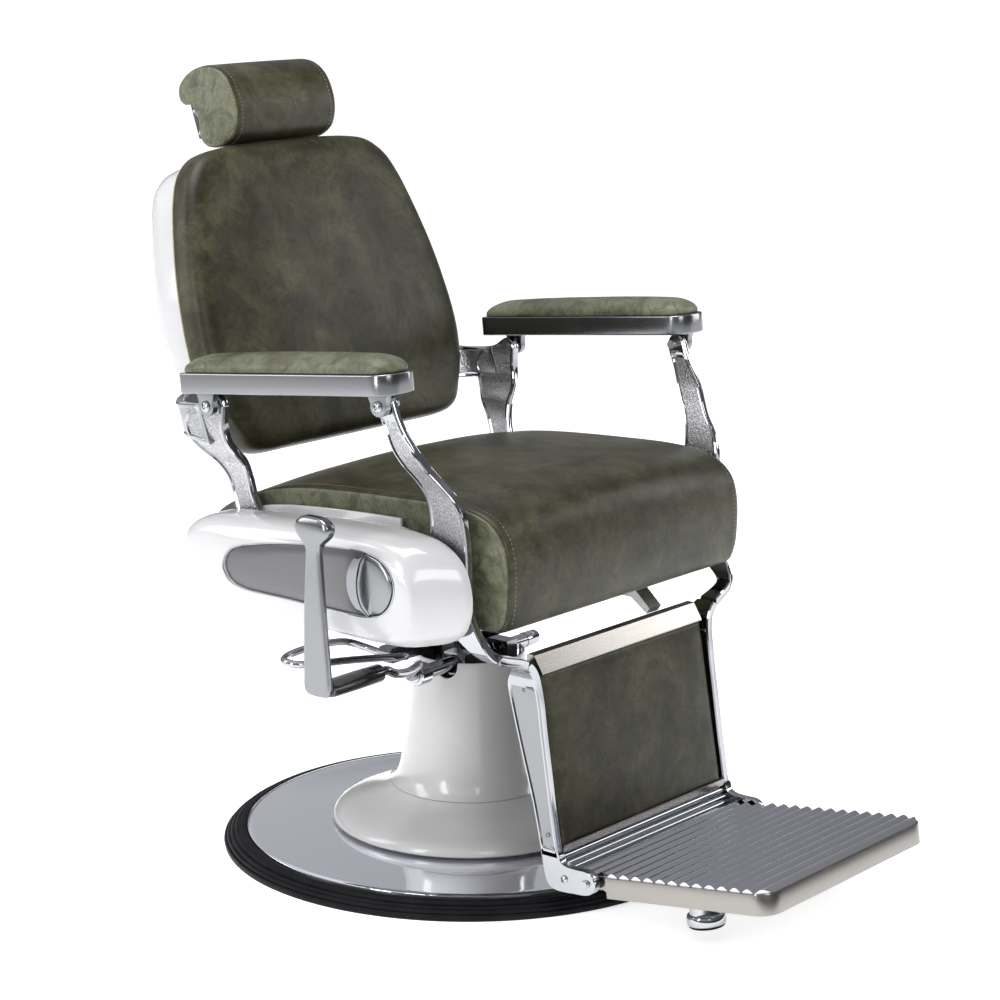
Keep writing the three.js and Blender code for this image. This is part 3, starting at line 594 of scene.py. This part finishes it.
# ---- Castings ----
def cast_bar(name, frames, body, node, rim=4.5):
    """Bar with bright rims round sunk fields on both faces and a groove along both edges.

    A frame is centre, half width, half thickness, depth of the fields and whether they are hammered.
    """
    points, paints = [], []
    for centre, wide, thick, depth, _ in frames:
        reach, half = norm(wide), norm(thick)
        edge, inner, sink = 1 - rim / reach, 1 - (rim + 1.6) / reach, 1 - depth / half
        soft_wide, soft_thick, groove = 1 - 1.6 / reach, 1 - 1.6 / half, 1 - 0.9 / reach
        quarter = [(1, 0.45), (1, soft_thick), (soft_wide, 1), (edge, 1), (inner, sink)]
        face = quarter + [(-u, v) for u, v in reversed(quarter)]
        ring = [(groove, 0), *face, (-groove, 0), *[(-u, -v) for u, v in face]]
        for u, v in ring:
            points.append(np.add(centre, np.add(np.multiply(wide, u), np.multiply(thick, v))))
    count = len(ring)
    for _, _, _, depth, rough in frames[:-1]:
        field = (1 if rough else 2) if depth > 0.15 else 0
        paints += [field if i in (5, 16) else 0 for i in range(count)]
    metals, faces = ["chrome", "hammered", "satin"], loft_faces(len(frames), count)
    return new_object(name, points, faces, metals, body, node, 32, paints + [0, 0])


def upright_frames(stations, side, count):
    """Frames of a bar that runs up through (x, z) with its width along Y; thickness stays square to its run."""
    rows = smooth_through([(*station, 6)[:5] for station in stations], count)
    frames = []
    for k, (x, z, y_front, y_rear, half) in enumerate(rows):
        before, after = beside(rows, k)
        run = unit(np.array([after[0] - before[0], 0, after[1] - before[1]]))
        out = np.array([run[2], 0, -run[0]])
        if out[0] < -0.5:
            out = -out
        upper = np.clip((z - 392) / 14, 0, 1) * np.clip((648 - z) / 8, 0, 1)
        lower = np.clip((306 - z) / 10, 0, 1) * np.clip((z - 92) / 8, 0, 1)
        centre = np.array([x * side, (y_front + y_rear) / 2, z])
        wide = np.array([0, (y_rear - y_front) / 2, 0])
        frames.append((centre, wide, out * half * np.array([side, 1, 1]), 2 * max(upper, lower), z > 350))
    return frames


REAR_POST = [  # x, z, front y, rear y, half thickness where it isn't 6
    (264.5, 375.5, 117, 133), (264.5, 380, 108, 142), (264.5, 388, 101.5, 149), (264.5, 400, 99.5, 151.5),
    (264.5, 420, 101, 153), (264.5, 445, 108, 159), (264.5, 475, 126, 171), (264.7, 502, 141, 180),
    (266.5, 527, 147.5, 189), (272.5, 548, 151, 205), (285, 564, 154.5, 219), (294, 579, 159, 229, 6.4),
    (297, 600, 162.5, 234, 6.8), (297, 618, 162.2, 222, 7), (297, 628, 162.3, 196, 7), (297, 635, 166, 186, 7),
    (297, 639.6, 171.5, 178.5, 7),
]
LEG_CASTING = [  # as for REAR_POST
    (302, 674.8, -127.5, -120.5), (302, 671, -133.5, -114.5), (302, 662, -137.3, -111),
    (301.5, 650, -141.5, -113.5), (300.5, 630, -152, -122), (297, 608, -167, -130), (290, 589, -178.5, -140.5),
    (281, 571, -192, -153.5), (274, 553, -207.5, -162), (269.5, 534, -217.5, -165.5), (265.6, 505, -222, -164),
    (264.5, 470, -224, -153), (264.5, 435, -225, -148.5), (264.5, 408, -227, -158), (264, 388, -235, -188),
    (262, 370, -246, -208), (256, 356, -254, -226), (244.5, 347.5, -260, -238), (230, 343, -264, -242),
    (214, 338.5, -267, -243), (200, 331.5, -267.5, -239, 6.2), (189, 319, -268, -229, 6.4),
    (184.5, 302, -270, -222, 6.2), (183, 280, -273.5, -225), (183, 250, -277.5, -233), (183, 205, -284.5, -246),
    (183, 150, -293, -262), (183, 98, -302, -274), (183, 85, -305, -277),
]
TOE = [(-304, 92), (-307, 82), (-316, 77.5), (-334, 76.5), (-351, 76.5), (-360, 71.5), (-363, 62), (-360, 52),
       (-350, 46), (-330, 43.5), (-302, 42), (-291, 45.5), (-285, 53), (-277.5, 84), (-276, 92)]


def build_rear_castings():
    for side, name in SIDES:
        post = cast_bar(f"rear_casting_{name}", upright_frames(REAR_POST, side, 70), "back", f"rear_post_{name}")
        middle = smooth_through([(297, 196), (297, 212), (295.5, 230), (290, 245), (276, 260), (252, 272),
                                 (227.5, 279)], 40)
        up = np.array([0, sin(BACK_LEAN), cos(BACK_LEAN)])
        flip = np.array([side, 1, 1])
        frames = []
        for k, (x, y) in enumerate(middle):
            before, after = beside(middle, k)
            run = unit(np.array([after[0] - before[0], after[1] - before[1], 0]))
            out = np.cross(run, up)
            out *= copysign(1, out[0] + 0.001)
            waist = 27.5 - 4 * sin(pi * min(1, k / 30))
            depth = 1.8 if 2 < k < 37 else 0
            frames.append((np.array([x, y, 598]) * flip, up * waist * flip, out * 6.3 * flip, depth, True))
        boolean(post, cast_bar(f"back_arm_{name}", frames, "back", None, 5))
        boss = [(r, -side * h) for r, h in ((0.01, 0), (15, 0), (16, 1), (16, 3), (0.01, 3))]
        spun(f"recline_boss_{name}", boss, "satin", "back", None, 40, (side * 274.4, 125, 400))


def build_leg_castings():
    for side, name in SIDES:
        casting = cast_bar(f"leg_frame_{name}", upright_frames(LEG_CASTING, side, 130), "leg_rest",
                           f"leg_casting_{name}", 3.6)
        ring = smooth_through(TOE, 60, True)
        rings = [at_x(side * x, shrunk(ring, scale, ring.mean(0)))
                 for x, scale in ((177, 0.975), (178, 1), (188, 1), (189, 0.975))]
        boolean(casting, lofted(f"toe_{name}", rings, "chrome", "leg_rest"))
        for label, (y, z) in {"upper": (-248, 296), "lower": (-287, 112)}.items():
            screw(f"panel_screw_{label}_{name}", (side * 187.2, y, z), 3, "leg_rest", side, "warm_steel")
        screw(f"toe_screw_{name}", (side * 189, -315, 60), 5.2, "leg_rest", side, proud=3)
        screw(f"footrest_pivot_{name}", (side * 189, -349, 61), 5.6, "leg_rest", side, proud=3.4)


# ---- Pods beside the seat ----
POD = [(215, 434), (209, 465), (178, 483), (119, 491), (29, 498), (-74, 503), (-150, 502), (-198, 492), (-228, 469),
       (-239, 438), (-239, 409), (-228, 384), (-200, 367), (-150, 362), (-60, 362), (60, 368), (140, 378), (192, 398)]
INSET = [(125, 430), (114, 450), (56, 467), (-10, 477), (-66, 482), (-122, 483), (-150, 475), (-167, 455), (-166, 432),
         (-152, 411), (-122, 402), (-60, 401), (20, 402), (94, 404), (116, 412)]
CRESCENT_REAR = [(-117, 482), (-103, 473), (-93, 458), (-89.5, 441), (-93, 424), (-104, 410), (-123, 402.5)]
CRESCENT_FRONT = [(-123, 482), (-116.5, 472), (-112, 458), (-109.5, 441), (-111, 425), (-117, 412), (-129, 402.5)]
PLATE_TOP = [
    (184, 398), (183, 425), (178, 456), (166, 475), (141, 489), (100, 496.5), (60, 500.5), (8, 504), (-50, 506.5),
    (-100, 507.5),
]
PLATE_FOOT = [(-102.5, 507), (-103, 497), (-172, 484), (-194, 440), (-190, 388), (-165, 368), (0, 366), (150, 380)]
POD_CENTRE, INSET_CENTRE, CAP_CENTRE = (-12, 432), (-21, 442), (-137, 441)
POD_FRONT, NOSE_START = -239, -100  # y of the pod's front end and of the place where its nose starts


def set_back(ring, x):
    """Pulls the nose of a pod's ring rearward as the ring moves outward, so that the nose is well rounded."""
    ring = ring.copy()
    limit = POD_FRONT + 0.8 * max(0, x - 284)
    nose = ring[:, 0].min()
    if nose < limit:
        front = ring[:, 0] < NOSE_START
        ring[front, 0] = NOSE_START + (ring[front, 0] - NOSE_START) * (limit - NOSE_START) / (nose - NOSE_START)
    return ring


def build_pods():
    outer = smooth_through(POD, 120, True)
    recess = smooth_through(INSET, 120, True)
    start = np.argmin(norm(recess - (outer[0] + (recess[0] - outer[0]) * 0.9), axis=1))
    recess = np.roll(recess, -start, 0)
    front, rear = smooth_through(CRESCENT_FRONT, 30), smooth_through(CRESCENT_REAR, 30)
    nose = [p for p in inward(recess, 1.5, INSET_CENTRE) if p[0] < -128]
    nose.sort(key=lambda p: atan2(p[1] - 441, -p[0] - 105))
    cap = np.array([*front, *nose])

    def sections(outline, centre, rows, side):
        return [at_x(side * x, shrunk(outline, scale, centre)) for x, scale in rows]

    for side, name in SIDES:
        rings = [(276.2, shrunk(outer, 0.955, POD_CENTRE)), (276.2, shrunk(outer, 0.985, POD_CENTRE)), (278.5, outer)]
        rings += [(x, set_back(outer, x)) for x in (284, 292, 300, 306)]
        face = inward(outer, 21, POD_CENTRE)
        for turn in np.radians(np.linspace(10, 80, 8)):
            share, x = 1 - cos(turn), 306 + 33.5 * sin(turn)
            rings.append((x, set_back(outer * (1 - share) + face * share, x)))
        lip = shrunk(recess, 1.035, INSET_CENTRE)
        for share in (0.15, 0.35, 0.6, 0.85, 1):
            rings.append((339.3 + 4.7 * share ** 0.6, set_back(face, 340) * (1 - share) + lip * share))
        rings = [at_x(side * x, ring) for x, ring in rings]
        rings += sections(recess, INSET_CENTRE, [(344.2, 1.012), (343.4, 1), (338, 0.995), (337.3, 0.97)], side)
        lofted(f"pod_cover_{name}", rings, "white", "seat", f"pod_shell_{name}", sharp=50)
        rows = [(337.6, 0.96), (340.6, 0.99), (341.6, 0.985), (342.1, 0.96), (342.5, 0.6), (342.6, 0.2)]
        lofted(f"pod_plate_{name}", sections(recess, INSET_CENTRE, rows, side), "inset", "seat", f"pod_inset_{name}")
        tube(f"pod_rim_{name}", at_x(side * 344.4, shrunk(recess[::4], 1.008, INSET_CENTRE)), 0.9, "chrome", "seat",
             count=140, sides=8, closed=True)
        rows = [(342.7, 1.0), (345.4, 0.99), (346.4, 0.96), (347.2, 0.8), (347.8, 0.5), (348, 0.1)]
        lofted(f"pod_cap_{name}", sections(cap, CAP_CENTRE, rows, side), "satin", "seat", None)
        band = []
        for (ya, za), (yb, zb) in zip(rear, front):
            band.append([(side * x, y, z) for x, y, z in (
                (342.7, ya, za), (343.2, ya, za), (344.6, (ya + yb) / 2 + 1.5, (za + zb) / 2),
                (346.4, yb + 0.5, zb), (346.4, yb - 1, zb), (342.7, yb - 1, zb))])
        lofted(f"pod_crescent_{name}", band, "dark_chrome", "seat", None, sharp=60)
        plate = [*smooth_through(PLATE_TOP, 40).tolist(), *PLATE_FOOT]
        slab(f"seat_side_panel_{name}", plate, 251.6, 256.1, 1.0, "white", "seat", on_edge(side),
             f"seat_side_plate_{name}")


# ---- Upholstery ----
SEAT_HALF, SEAT_COUNT = 248, 180  # half width of the cushion; points in each of its rings
SEAT_SIDE = [
    (-249, 380.5), (-260, 384), (-268, 400), (-272, 440), (-270.5, 475), (-262, 503), (-243, 522), (-215, 532),
    (-160, 536), (-60, 533), (60, 526), (130, 514), (174, 499), (208, 484), (236, 463), (235, 430), (222, 390),
    (214, 383.5), (100, 382), (-100, 382),
]


def ripple(points, size, amount):
    """Small fixed unevenness of stuffed leather, from a few crossed waves."""
    p = np.asarray(points, float)
    wave = (np.sin(p[:, 0] / size + 1.3) * np.sin(p[:, 1] / (size * 0.8) + 0.4)
            + 0.6 * np.sin(p[:, 0] / (size * 0.45) + p[:, 2] / (size * 0.6))
            + 0.4 * np.sin(p[:, 1] / (size * 0.37) - p[:, 2] / (size * 0.5) + 2))
    return amount * wave


def seat_loop(inset, crown):
    """Side outline of the seat drawn in by inset, swollen by crown at the top and half as much in front."""
    base = inward(smooth_through(SEAT_SIDE, SEAT_COUNT, True), inset)
    top = np.clip((base[:, 1] - 440) / 80, 0, 1)
    front = np.clip((-base[:, 0] - 215) / 40, 0, 1) * np.clip((base[:, 1] - 390) / 40, 0, 1)
    return base + np.stack([-0.45 * crown * front, crown * top], 1)


def build_seat():
    profile = [(2.4, 60), (2.0, 24), (0.8, 10), (0.2, 5.6), (0.5, 4.2), (2.0, 3.4), (3.2, 3.9), (4.0, 3.0), (5.2, 1.9),
               (7.2, 0.9), (10.5, 0.3), (15, 0)]
    rings = [at_x(away - SEAT_HALF, seat_loop(inset, 0)) for away, inset in profile]
    for share in np.linspace(-1, 1, 47)[1:-1]:
        rings.append(at_x(share * (SEAT_HALF - 15), seat_loop(0, 12 * (1 - abs(share) ** 2.4))))
    rings += [at_x(SEAT_HALF - away, seat_loop(inset, 0)) for away, inset in reversed(profile)]
    # Side rings take the lighter leather copy, which paints light onto the seat's sides
    paints = [1 if r < 6 or r >= len(rings) - 7 else 0 for r in range(len(rings) - 1) for _ in range(SEAT_COUNT)]
    points = np.array([p for ring in rings for p in ring])
    points[:, 2] += ripple(points, 60, 0.5) * np.clip((points[:, 2] - 480) / 40, 0, 1)
    seat = new_object("seat_upholstery", points, loft_faces(len(rings), SEAT_COUNT), ["leather", "leather_lit_copy"], "seat",
                      "seat_cushion", 60, paints + [1, 1])
    line = seat_loop(0.1, 0)
    line = np.roll(line, -np.argmin(norm(line - (-258, 392), axis=1)), 0)
    seam = [(y, z) for y, z in line if z > 390 and y < 214]  # up the front, over the top and down the rear
    for sign, name in reversed(SIDES):
        spots = at_x(sign * (SEAT_HALF - 14), seam)
        outward = [(sign * 0.2, y + 20, z - 455) for _, y, z in spots]
        stitches(f"seat_stitches_{name}", spots, outward, "seat", 3.6, 2.4, 0.4)


BACK_SIDE = [
    (120, -7), (178, -6.5), (198, -3), (213, 6), (229, 33), (243, 63), (251.5, 99), (254, 138), (249, 198),
    (240, 250), (225, 308), (211, 348), (193, 380), (166, 400.5), (126, 409),
]
SHELL_SIDE = [
    (120, 5), (160, 6), (188, 13), (204, 34), (214, 62), (225, 98), (236, 138), (237, 198), (229, 250), (214, 308),
    (201, 348), (184, 377), (158, 394), (118, 400),
]


def mirrored_outline(sides, count):
    return smooth_through([*sides, *[(-x, s) for x, s in reversed(sides)]], count, True)


def build_back():
    outline = mirrored_outline(BACK_SIDE, 240)
    rows = [(17, 60), (17, 6), (16.6, 1.4), (15, 0.3), (8, 0), (0, 0.2), (-7, 0.9), (-12.5, 2.8), (-17, 6), (-20.4, 11),
            (-22.8, 17.5), (-24.4, 26)]
    rings = [[(x, n, s) for x, s in inward(outline, inset)] for n, inset in rows]
    edge = inward(outline, 26)
    centre = (edge.max(0) + edge.min(0)) / 2
    for scale in np.linspace(0.95, 0.02, 26):
        rings.append([(x, -24.2 - 11 * (1 - scale ** 2), s) for x, s in shrunk(edge, scale, centre)])
    flat = np.array([p for ring in rings for p in ring])
    flat[:, 1] -= ripple(flat[:, [0, 2, 1]], 55, 0.6) * np.clip((-flat[:, 1] - 12) / 10, 0, 1)
    back = new_object("back_upholstery", [on_back(point) for point in flat], loft_faces(len(rings), 240), ["leather"],
                      "back", "back_cushion", 60)
    tube("back_piping", [on_back((x, 17.1, s)) for x, s in inward(outline, 1.2)[::3]], 1.0, "thread", "back",
         count=240, sides=8, closed=True)


def build_back_shell():
    outline = mirrored_outline(SHELL_SIDE, 200)
    rows = [(17.4, 60), (17.4, 2), (18.6, 0.2), (24, 0), (56, 0), (67, 0.8), (75, 3.4), (80.5, 8), (84, 15), (85, 25),
            (84, 45), (81, 90), (79, 160), (79, 190)]
    rings = [[on_back((x, n, s)) for x, s in inward(outline, inset)] for n, inset in rows]
    lofted("back_white_shell", rings, "white", "back", "back_shell", sharp=60)


BOLSTER = [(6, 414.5), (28, 416.5), (44, 423), (49.5, 436), (45, 455), (45.5, 472), (52, 484), (64, 488), (71, 497),
           (68, 513), (51, 525), (20, 529), (-10, 520), (-28, 499), (-34, 470), (-30, 443), (-16, 422)]


def build_headrest():
    outline = smooth_through(BOLSTER, 140, True)
    centre = (6, 474)
    cap = [(0.05, 101.6), (0.5, 101.4), (0.82, 100.6), (0.93, 99.4), (0.955, 98.4), (0.965, 96.6), (0.972, 96.4),
           (0.985, 95.2), (0.999, 91), (1.003, 86)]
    rings = [at_x(-x, shrunk(outline, scale, centre)) for scale, x in cap]
    for x in np.linspace(-79, 79, 21):
        rings.append(at_x(x, shrunk(outline, 1.003 + 0.01 * (1 - (x / 86) ** 2), centre)))
    rings += [at_x(x, shrunk(outline, scale, centre)) for scale, x in reversed(cap)]
    # End rings take the lighter leather copy, which paints light onto the bolster's ends
    paints = [1 if r < 5 or r >= len(rings) - 6 else 0 for r in range(len(rings) - 1) for _ in range(140)]
    points = [on_back(p) for ring in rings for p in ring]
    bolster = new_object("headrest_upholstery", points, loft_faces(len(rings), 140), ["leather", "leather_lit_copy"], "headrest",
                         "headrest_bolster", 60, paints + [1, 1])
    bracket = [(49.5, 437), (60, 437), (60, 486), (49.5, 486)]
    for sign, name in reversed(SIDES):
        for label, scale, x in (("rim", 0.925, 99.6), ("panel", 1.004, 88)):
            spots = [on_back(p) for p in at_x(sign * x, shrunk(outline, scale, centre))]
            away = [(sign, 0, 0) if label == "rim" else (0, y - 388, z - 985) for _, y, z in spots]
            stitches(f"headrest_{label}_stitches_{name}", spots, away, "headrest", 3.2, 2.2, 0.32)
        slab(f"headrest_side_bracket_{name}", bracket, 84, 90, 0.8, "gloss_black", "headrest", on_edge(sign, on_back))
        for label, level in (("upper", 477), ("lower", 445)):
            screw(f"headrest_screw_{label}_{name}", on_back((sign * 90, 55, level)), 3.2, "headrest", sign)


# ---- Arms ----
def rounded_plan(half, front, rear, front_radius, rear_radius, gap, steps=10):
    """Rectangle seen from above, with rounded corners and more points on its straight sides."""
    corners = [(half, rear, rear_radius, 1, 1, 0), (-half, rear, rear_radius, -1, 1, 90),
               (-half, front, front_radius, -1, -1, 180), (half, front, front_radius, 1, -1, 270)]
    outline = []
    for x, y, radius, sx, sy, start in corners:
        for turn in (radians(start + 90 * k / steps) for k in range(steps + 1)):
            outline.append((x - sx * radius + radius * cos(turn), y - sy * radius + radius * sin(turn)))
    outline = np.array(outline)
    points = []
    for a, b in zip(outline, np.roll(outline, -1, 0)):
        parts = max(1, int(norm(b - a) / gap))
        points += [a + (b - a) * k / parts for k in range(parts)]
    return np.array(points)


def build_arms():
    for side, name in SIDES:
        body = f"arm_{name}"
        place = tilted(ARM_ORIGIN, ARM_SLOPE, side * ARM_X)
        plan = rounded_plan(33, -357, 5, 26, 5, 6)
        rail = slab(f"arm_chrome_rail_{name}", plan, 0, 27, 2.2, "satin", body, place, f"arm_rail_{name}")
        for end, (y, z) in {"rear": (-23.2, -18.5), "front": (-324.2, -14.5)}.items():
            turns = np.linspace(pi, 2 * pi, 14)
            ear = [(y - 17, 1), (y - 15, -4), (y - 12.5, z + 4)]
            ear += [(y + 13 * cos(t), z + 13 * sin(t)) for t in turns]
            ear += [(y + 12.5, z + 4), (y + 15, -4), (y + 17, 1)]
            bracket = slab(f"arm_ear_{end}_{name}", ear, 6, 16, 1.2, "satin", body, on_edge(side, place))
            boolean(rail, bracket)
            bolt = screw(f"arm_screw_{end}_{name}", place((side * 16.2, y, z)), 7.5, body, side, proud=4)
            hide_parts(f"arm_bolt_{end}_{name}")
            pin = [(r, side * h) for r, h in ((0.01, -18), (6, -18), (6, 10), (0.01, 10))]
            spun(f"arm_pin_{end}_{name}", pin, "steel", body, None, 24, place((0, y, z)))
        plan = rounded_plan(31, -351, -1, 25, 8, 5)
        rings = []
        for level, inset in ((27.4, 12), (27.4, 1.2), (28.4, 0.2), (31, 0), (34.5, 0.5), (38.5, 2.4), (42.5, 6),
                             (46, 11), (48.6, 16.5), (50.2, 22), (51, 27), (51.2, 30.3)):
            ring = []
            for x, y in inward(plan, inset):
                along = (y + 176) / 175
                swell = 1 - 0.16 * abs(along) ** 2.6 - 0.04 * along
                ring.append(place((x, y, 27.4 + (level - 27.4) * swell)))
            rings.append(ring)
        # The pad takes the lighter leather copy, which paints light onto it
        pad = lofted(f"arm_upholstery_{name}", rings, "leather_lit_copy", body, f"arm_pad_{name}", sharp=70)


# ---- Leg rest and footrest ----
PANEL_LENGTH = 224.4


def build_leg_panel():
    top, bottom = np.array([-255.4, 313]), np.array([-294.4, 92])
    run = (bottom - top) / PANEL_LENGTH
    normal = unit(np.array([run[1], -run[0]]))
    plan = rounded_plan(172, -PANEL_LENGTH / 2, PANEL_LENGTH / 2, 3, 3, 9, 3)
    rings = []
    for lift, inset in ((-6.6, 12), (-6.6, 0.4), (-6, 0), (3.4, 0), (5, 0.7), (6.2, 2.4), (7.2, 6), (8, 14), (8.6, 30),
                        (9.2, 60), (9.5, 100), (9.6, 110)):
        rings.append([(u, *((top + bottom) / 2 - run * v + normal * lift)) for u, v in inward(plan, inset)])
    panel = lofted("leg_panel_upholstery", rings, "leather", "leg_rest", "kick_cushion", sharp=60)
    channel = [(-239, 323.4), (-239, 336.4), (-240.4, 338), (-249.6, 338), (-251.4, 337.2), (-264.6, 316.2),
               (-264.4, 314.6), (-262.8, 313.8), (-259.8, 314.2), (-250, 323.4)]
    lofted("leg_panel_top_trim", [at_x(x, channel) for x in (-172, 172)], "warm_steel", "leg_rest", "kick_trim",
           sharp=25)
    strip = [(-294, 90.5), (-301.6, 91.4), (-303.2, 98.5), (-304.2, 98), (-303.4, 89), (-301.8, 86.4), (-294, 86)]
    lofted("leg_panel_foot_strip", [at_x(x, strip) for x in (-176, 176)], "warm_steel", "leg_rest", None,
           sharp=25)
    for k, (y, z, radius) in enumerate(((-299, 80.5, 5.2), (-305, 73, 4.4), (-308.6, 66.4, 4.3))):
        tube(f"leg_panel_foot_bead_{k}", [(-176.5, y, z), (0, y, z), (176.5, y, z)], radius, "dark_chrome", "leg_rest",
             count=3)


def outer_band(place):
    """Edge of the pan seen from above: its own outline, rear end to rear end, as a folded strip."""
    plan = rounded_plan(180, -272, -24, 24, 0.5, 6)
    plan = np.array([spot for spot in plan if spot[1] < -24.2])
    plan = np.roll(plan, -np.argmax(norm(plan - np.roll(plan, 1, 0), axis=1)), 0)
    section = [(0.8, -19), (0, -18.2), (0, 7.4), (0.4, 8.3), (1.2, 8.6), (2.2, 8.6), (2.6, 8), (2.6, -18.4)]
    rings = []
    for k, spot in enumerate(plan):
        before, after = beside(plan, k)
        run = unit(after - before)
        into = np.array([-run[1], run[0]])
        rings.append([place((*(spot + into * inset), level)) for inset, level in section])
    return rings


def build_footrest():
    place = tilted(TRAY_ORIGIN, TRAY_SLOPE)
    lofted("footrest_pan_band", outer_band(place), "warm_steel", "footrest", "footrest_tray")
    plan = rounded_plan(177.4, -269.4, -24, 22, 0.5, 8)
    slab("footrest_pan_floor", plan, 4.6, 7.4, 0.6, "steel", "footrest", place)
    root = rounded_plan(172, -30, 34, 1, 1, 8)
    slab("footrest_pan_root", root, 4.6, 7.4, 0.6, "steel", "footrest", place)
    cheek = [(33, 6), (33, -6), (26, -10.5), (-14, -11), (-26, -18.5), (-26, 6)]
    for side, name in SIDES:
        slab(f"footrest_pan_cheek_{name}", cheek, 169.4, 172, 0.5, "warm_steel", "footrest",
             on_edge(side, place))
    ribs, floor, crest = 16, 7.9, 13.4
    rear, front = 31.0, -268.5
    rings = []
    for y in np.linspace(rear, front, ribs * 14 + 1):
        phase = (rear - y) / (rear - front) * ribs
        level = floor + 0.5 + (crest - floor - 0.5) * (0.5 - 0.5 * cos(2 * pi * phase)) ** 0.75
        corner = max(0.0, -246 - y)
        half = 155.2 + sqrt(max(0.0, 23 ** 2 - corner ** 2)) if y < -26 else 171.6
        under = floor - 0.4
        rings.append([place(p) for p in ((-half, y, under), (half, y, under), (half, y, level), (-half, y, level))])
    lofted("footrest_ribbed_tread", rings, "tread", "footrest", "footrest_tread", sharp=50)
    profiles = {"chrome": [(0.01, -56), (24.6, -56), (25, -54), (25, -46), (23.6, -43.6), (20.6, -42.6), (20, -40),
                           (20, 4.2), (0.01, 4.2)],
                "rubber": [(0.01, -60), (21.6, -60), (23, -58.8), (23, -56.2), (0.01, -56.2)]}
    for side, name in SIDES:
        for paint, rows in profiles.items():
            rings = [[place((side * 120 + r * cos(t), -131 + r * sin(t), h)) for t in full_turn(56)]
                     for r, h in rows]
            lofted(f"footrest_stand_{paint}_{name}", rings, paint, "footrest",
                   f"footrest_foot_{name}" if paint == "chrome" else None)


# ---- CAD nodes that keep their own shape ----
CARRIED = {
    "iron": ["base_plate", "pump_cylinder"],
    "satin": ["seat_frame", "pump_head", "lock_bracket"],
    "steel": ["leg_stop_strut", "swivel_spindle", "leg_cross_bar", "rear_seat_pin_left", "rear_seat_pin_right",
              "front_seat_pin_left", "front_seat_pin_right"],
    "chrome": ["ram", "saddle", "headrest_bar", "footrest_rod"],
    "black": ["headrest_socket", "headrest_yoke", "headrest_tongue", "kick_board"],
}


def paint_carried_nodes():
    for paint, nodes in CARRIED.items():
        for node in nodes:
            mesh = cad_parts[node].data
            mesh.materials.clear()
            mesh.materials.append(PAINTS[paint])


make_stage()
make_light()
build_base()
build_column()
build_pump_controls()
build_handle()
build_rear_castings()
build_leg_castings()
build_pods()
build_seat()
build_back()
build_back_shell()
build_headrest()
build_arms()
build_leg_panel()
build_footrest()
paint_carried_nodes()
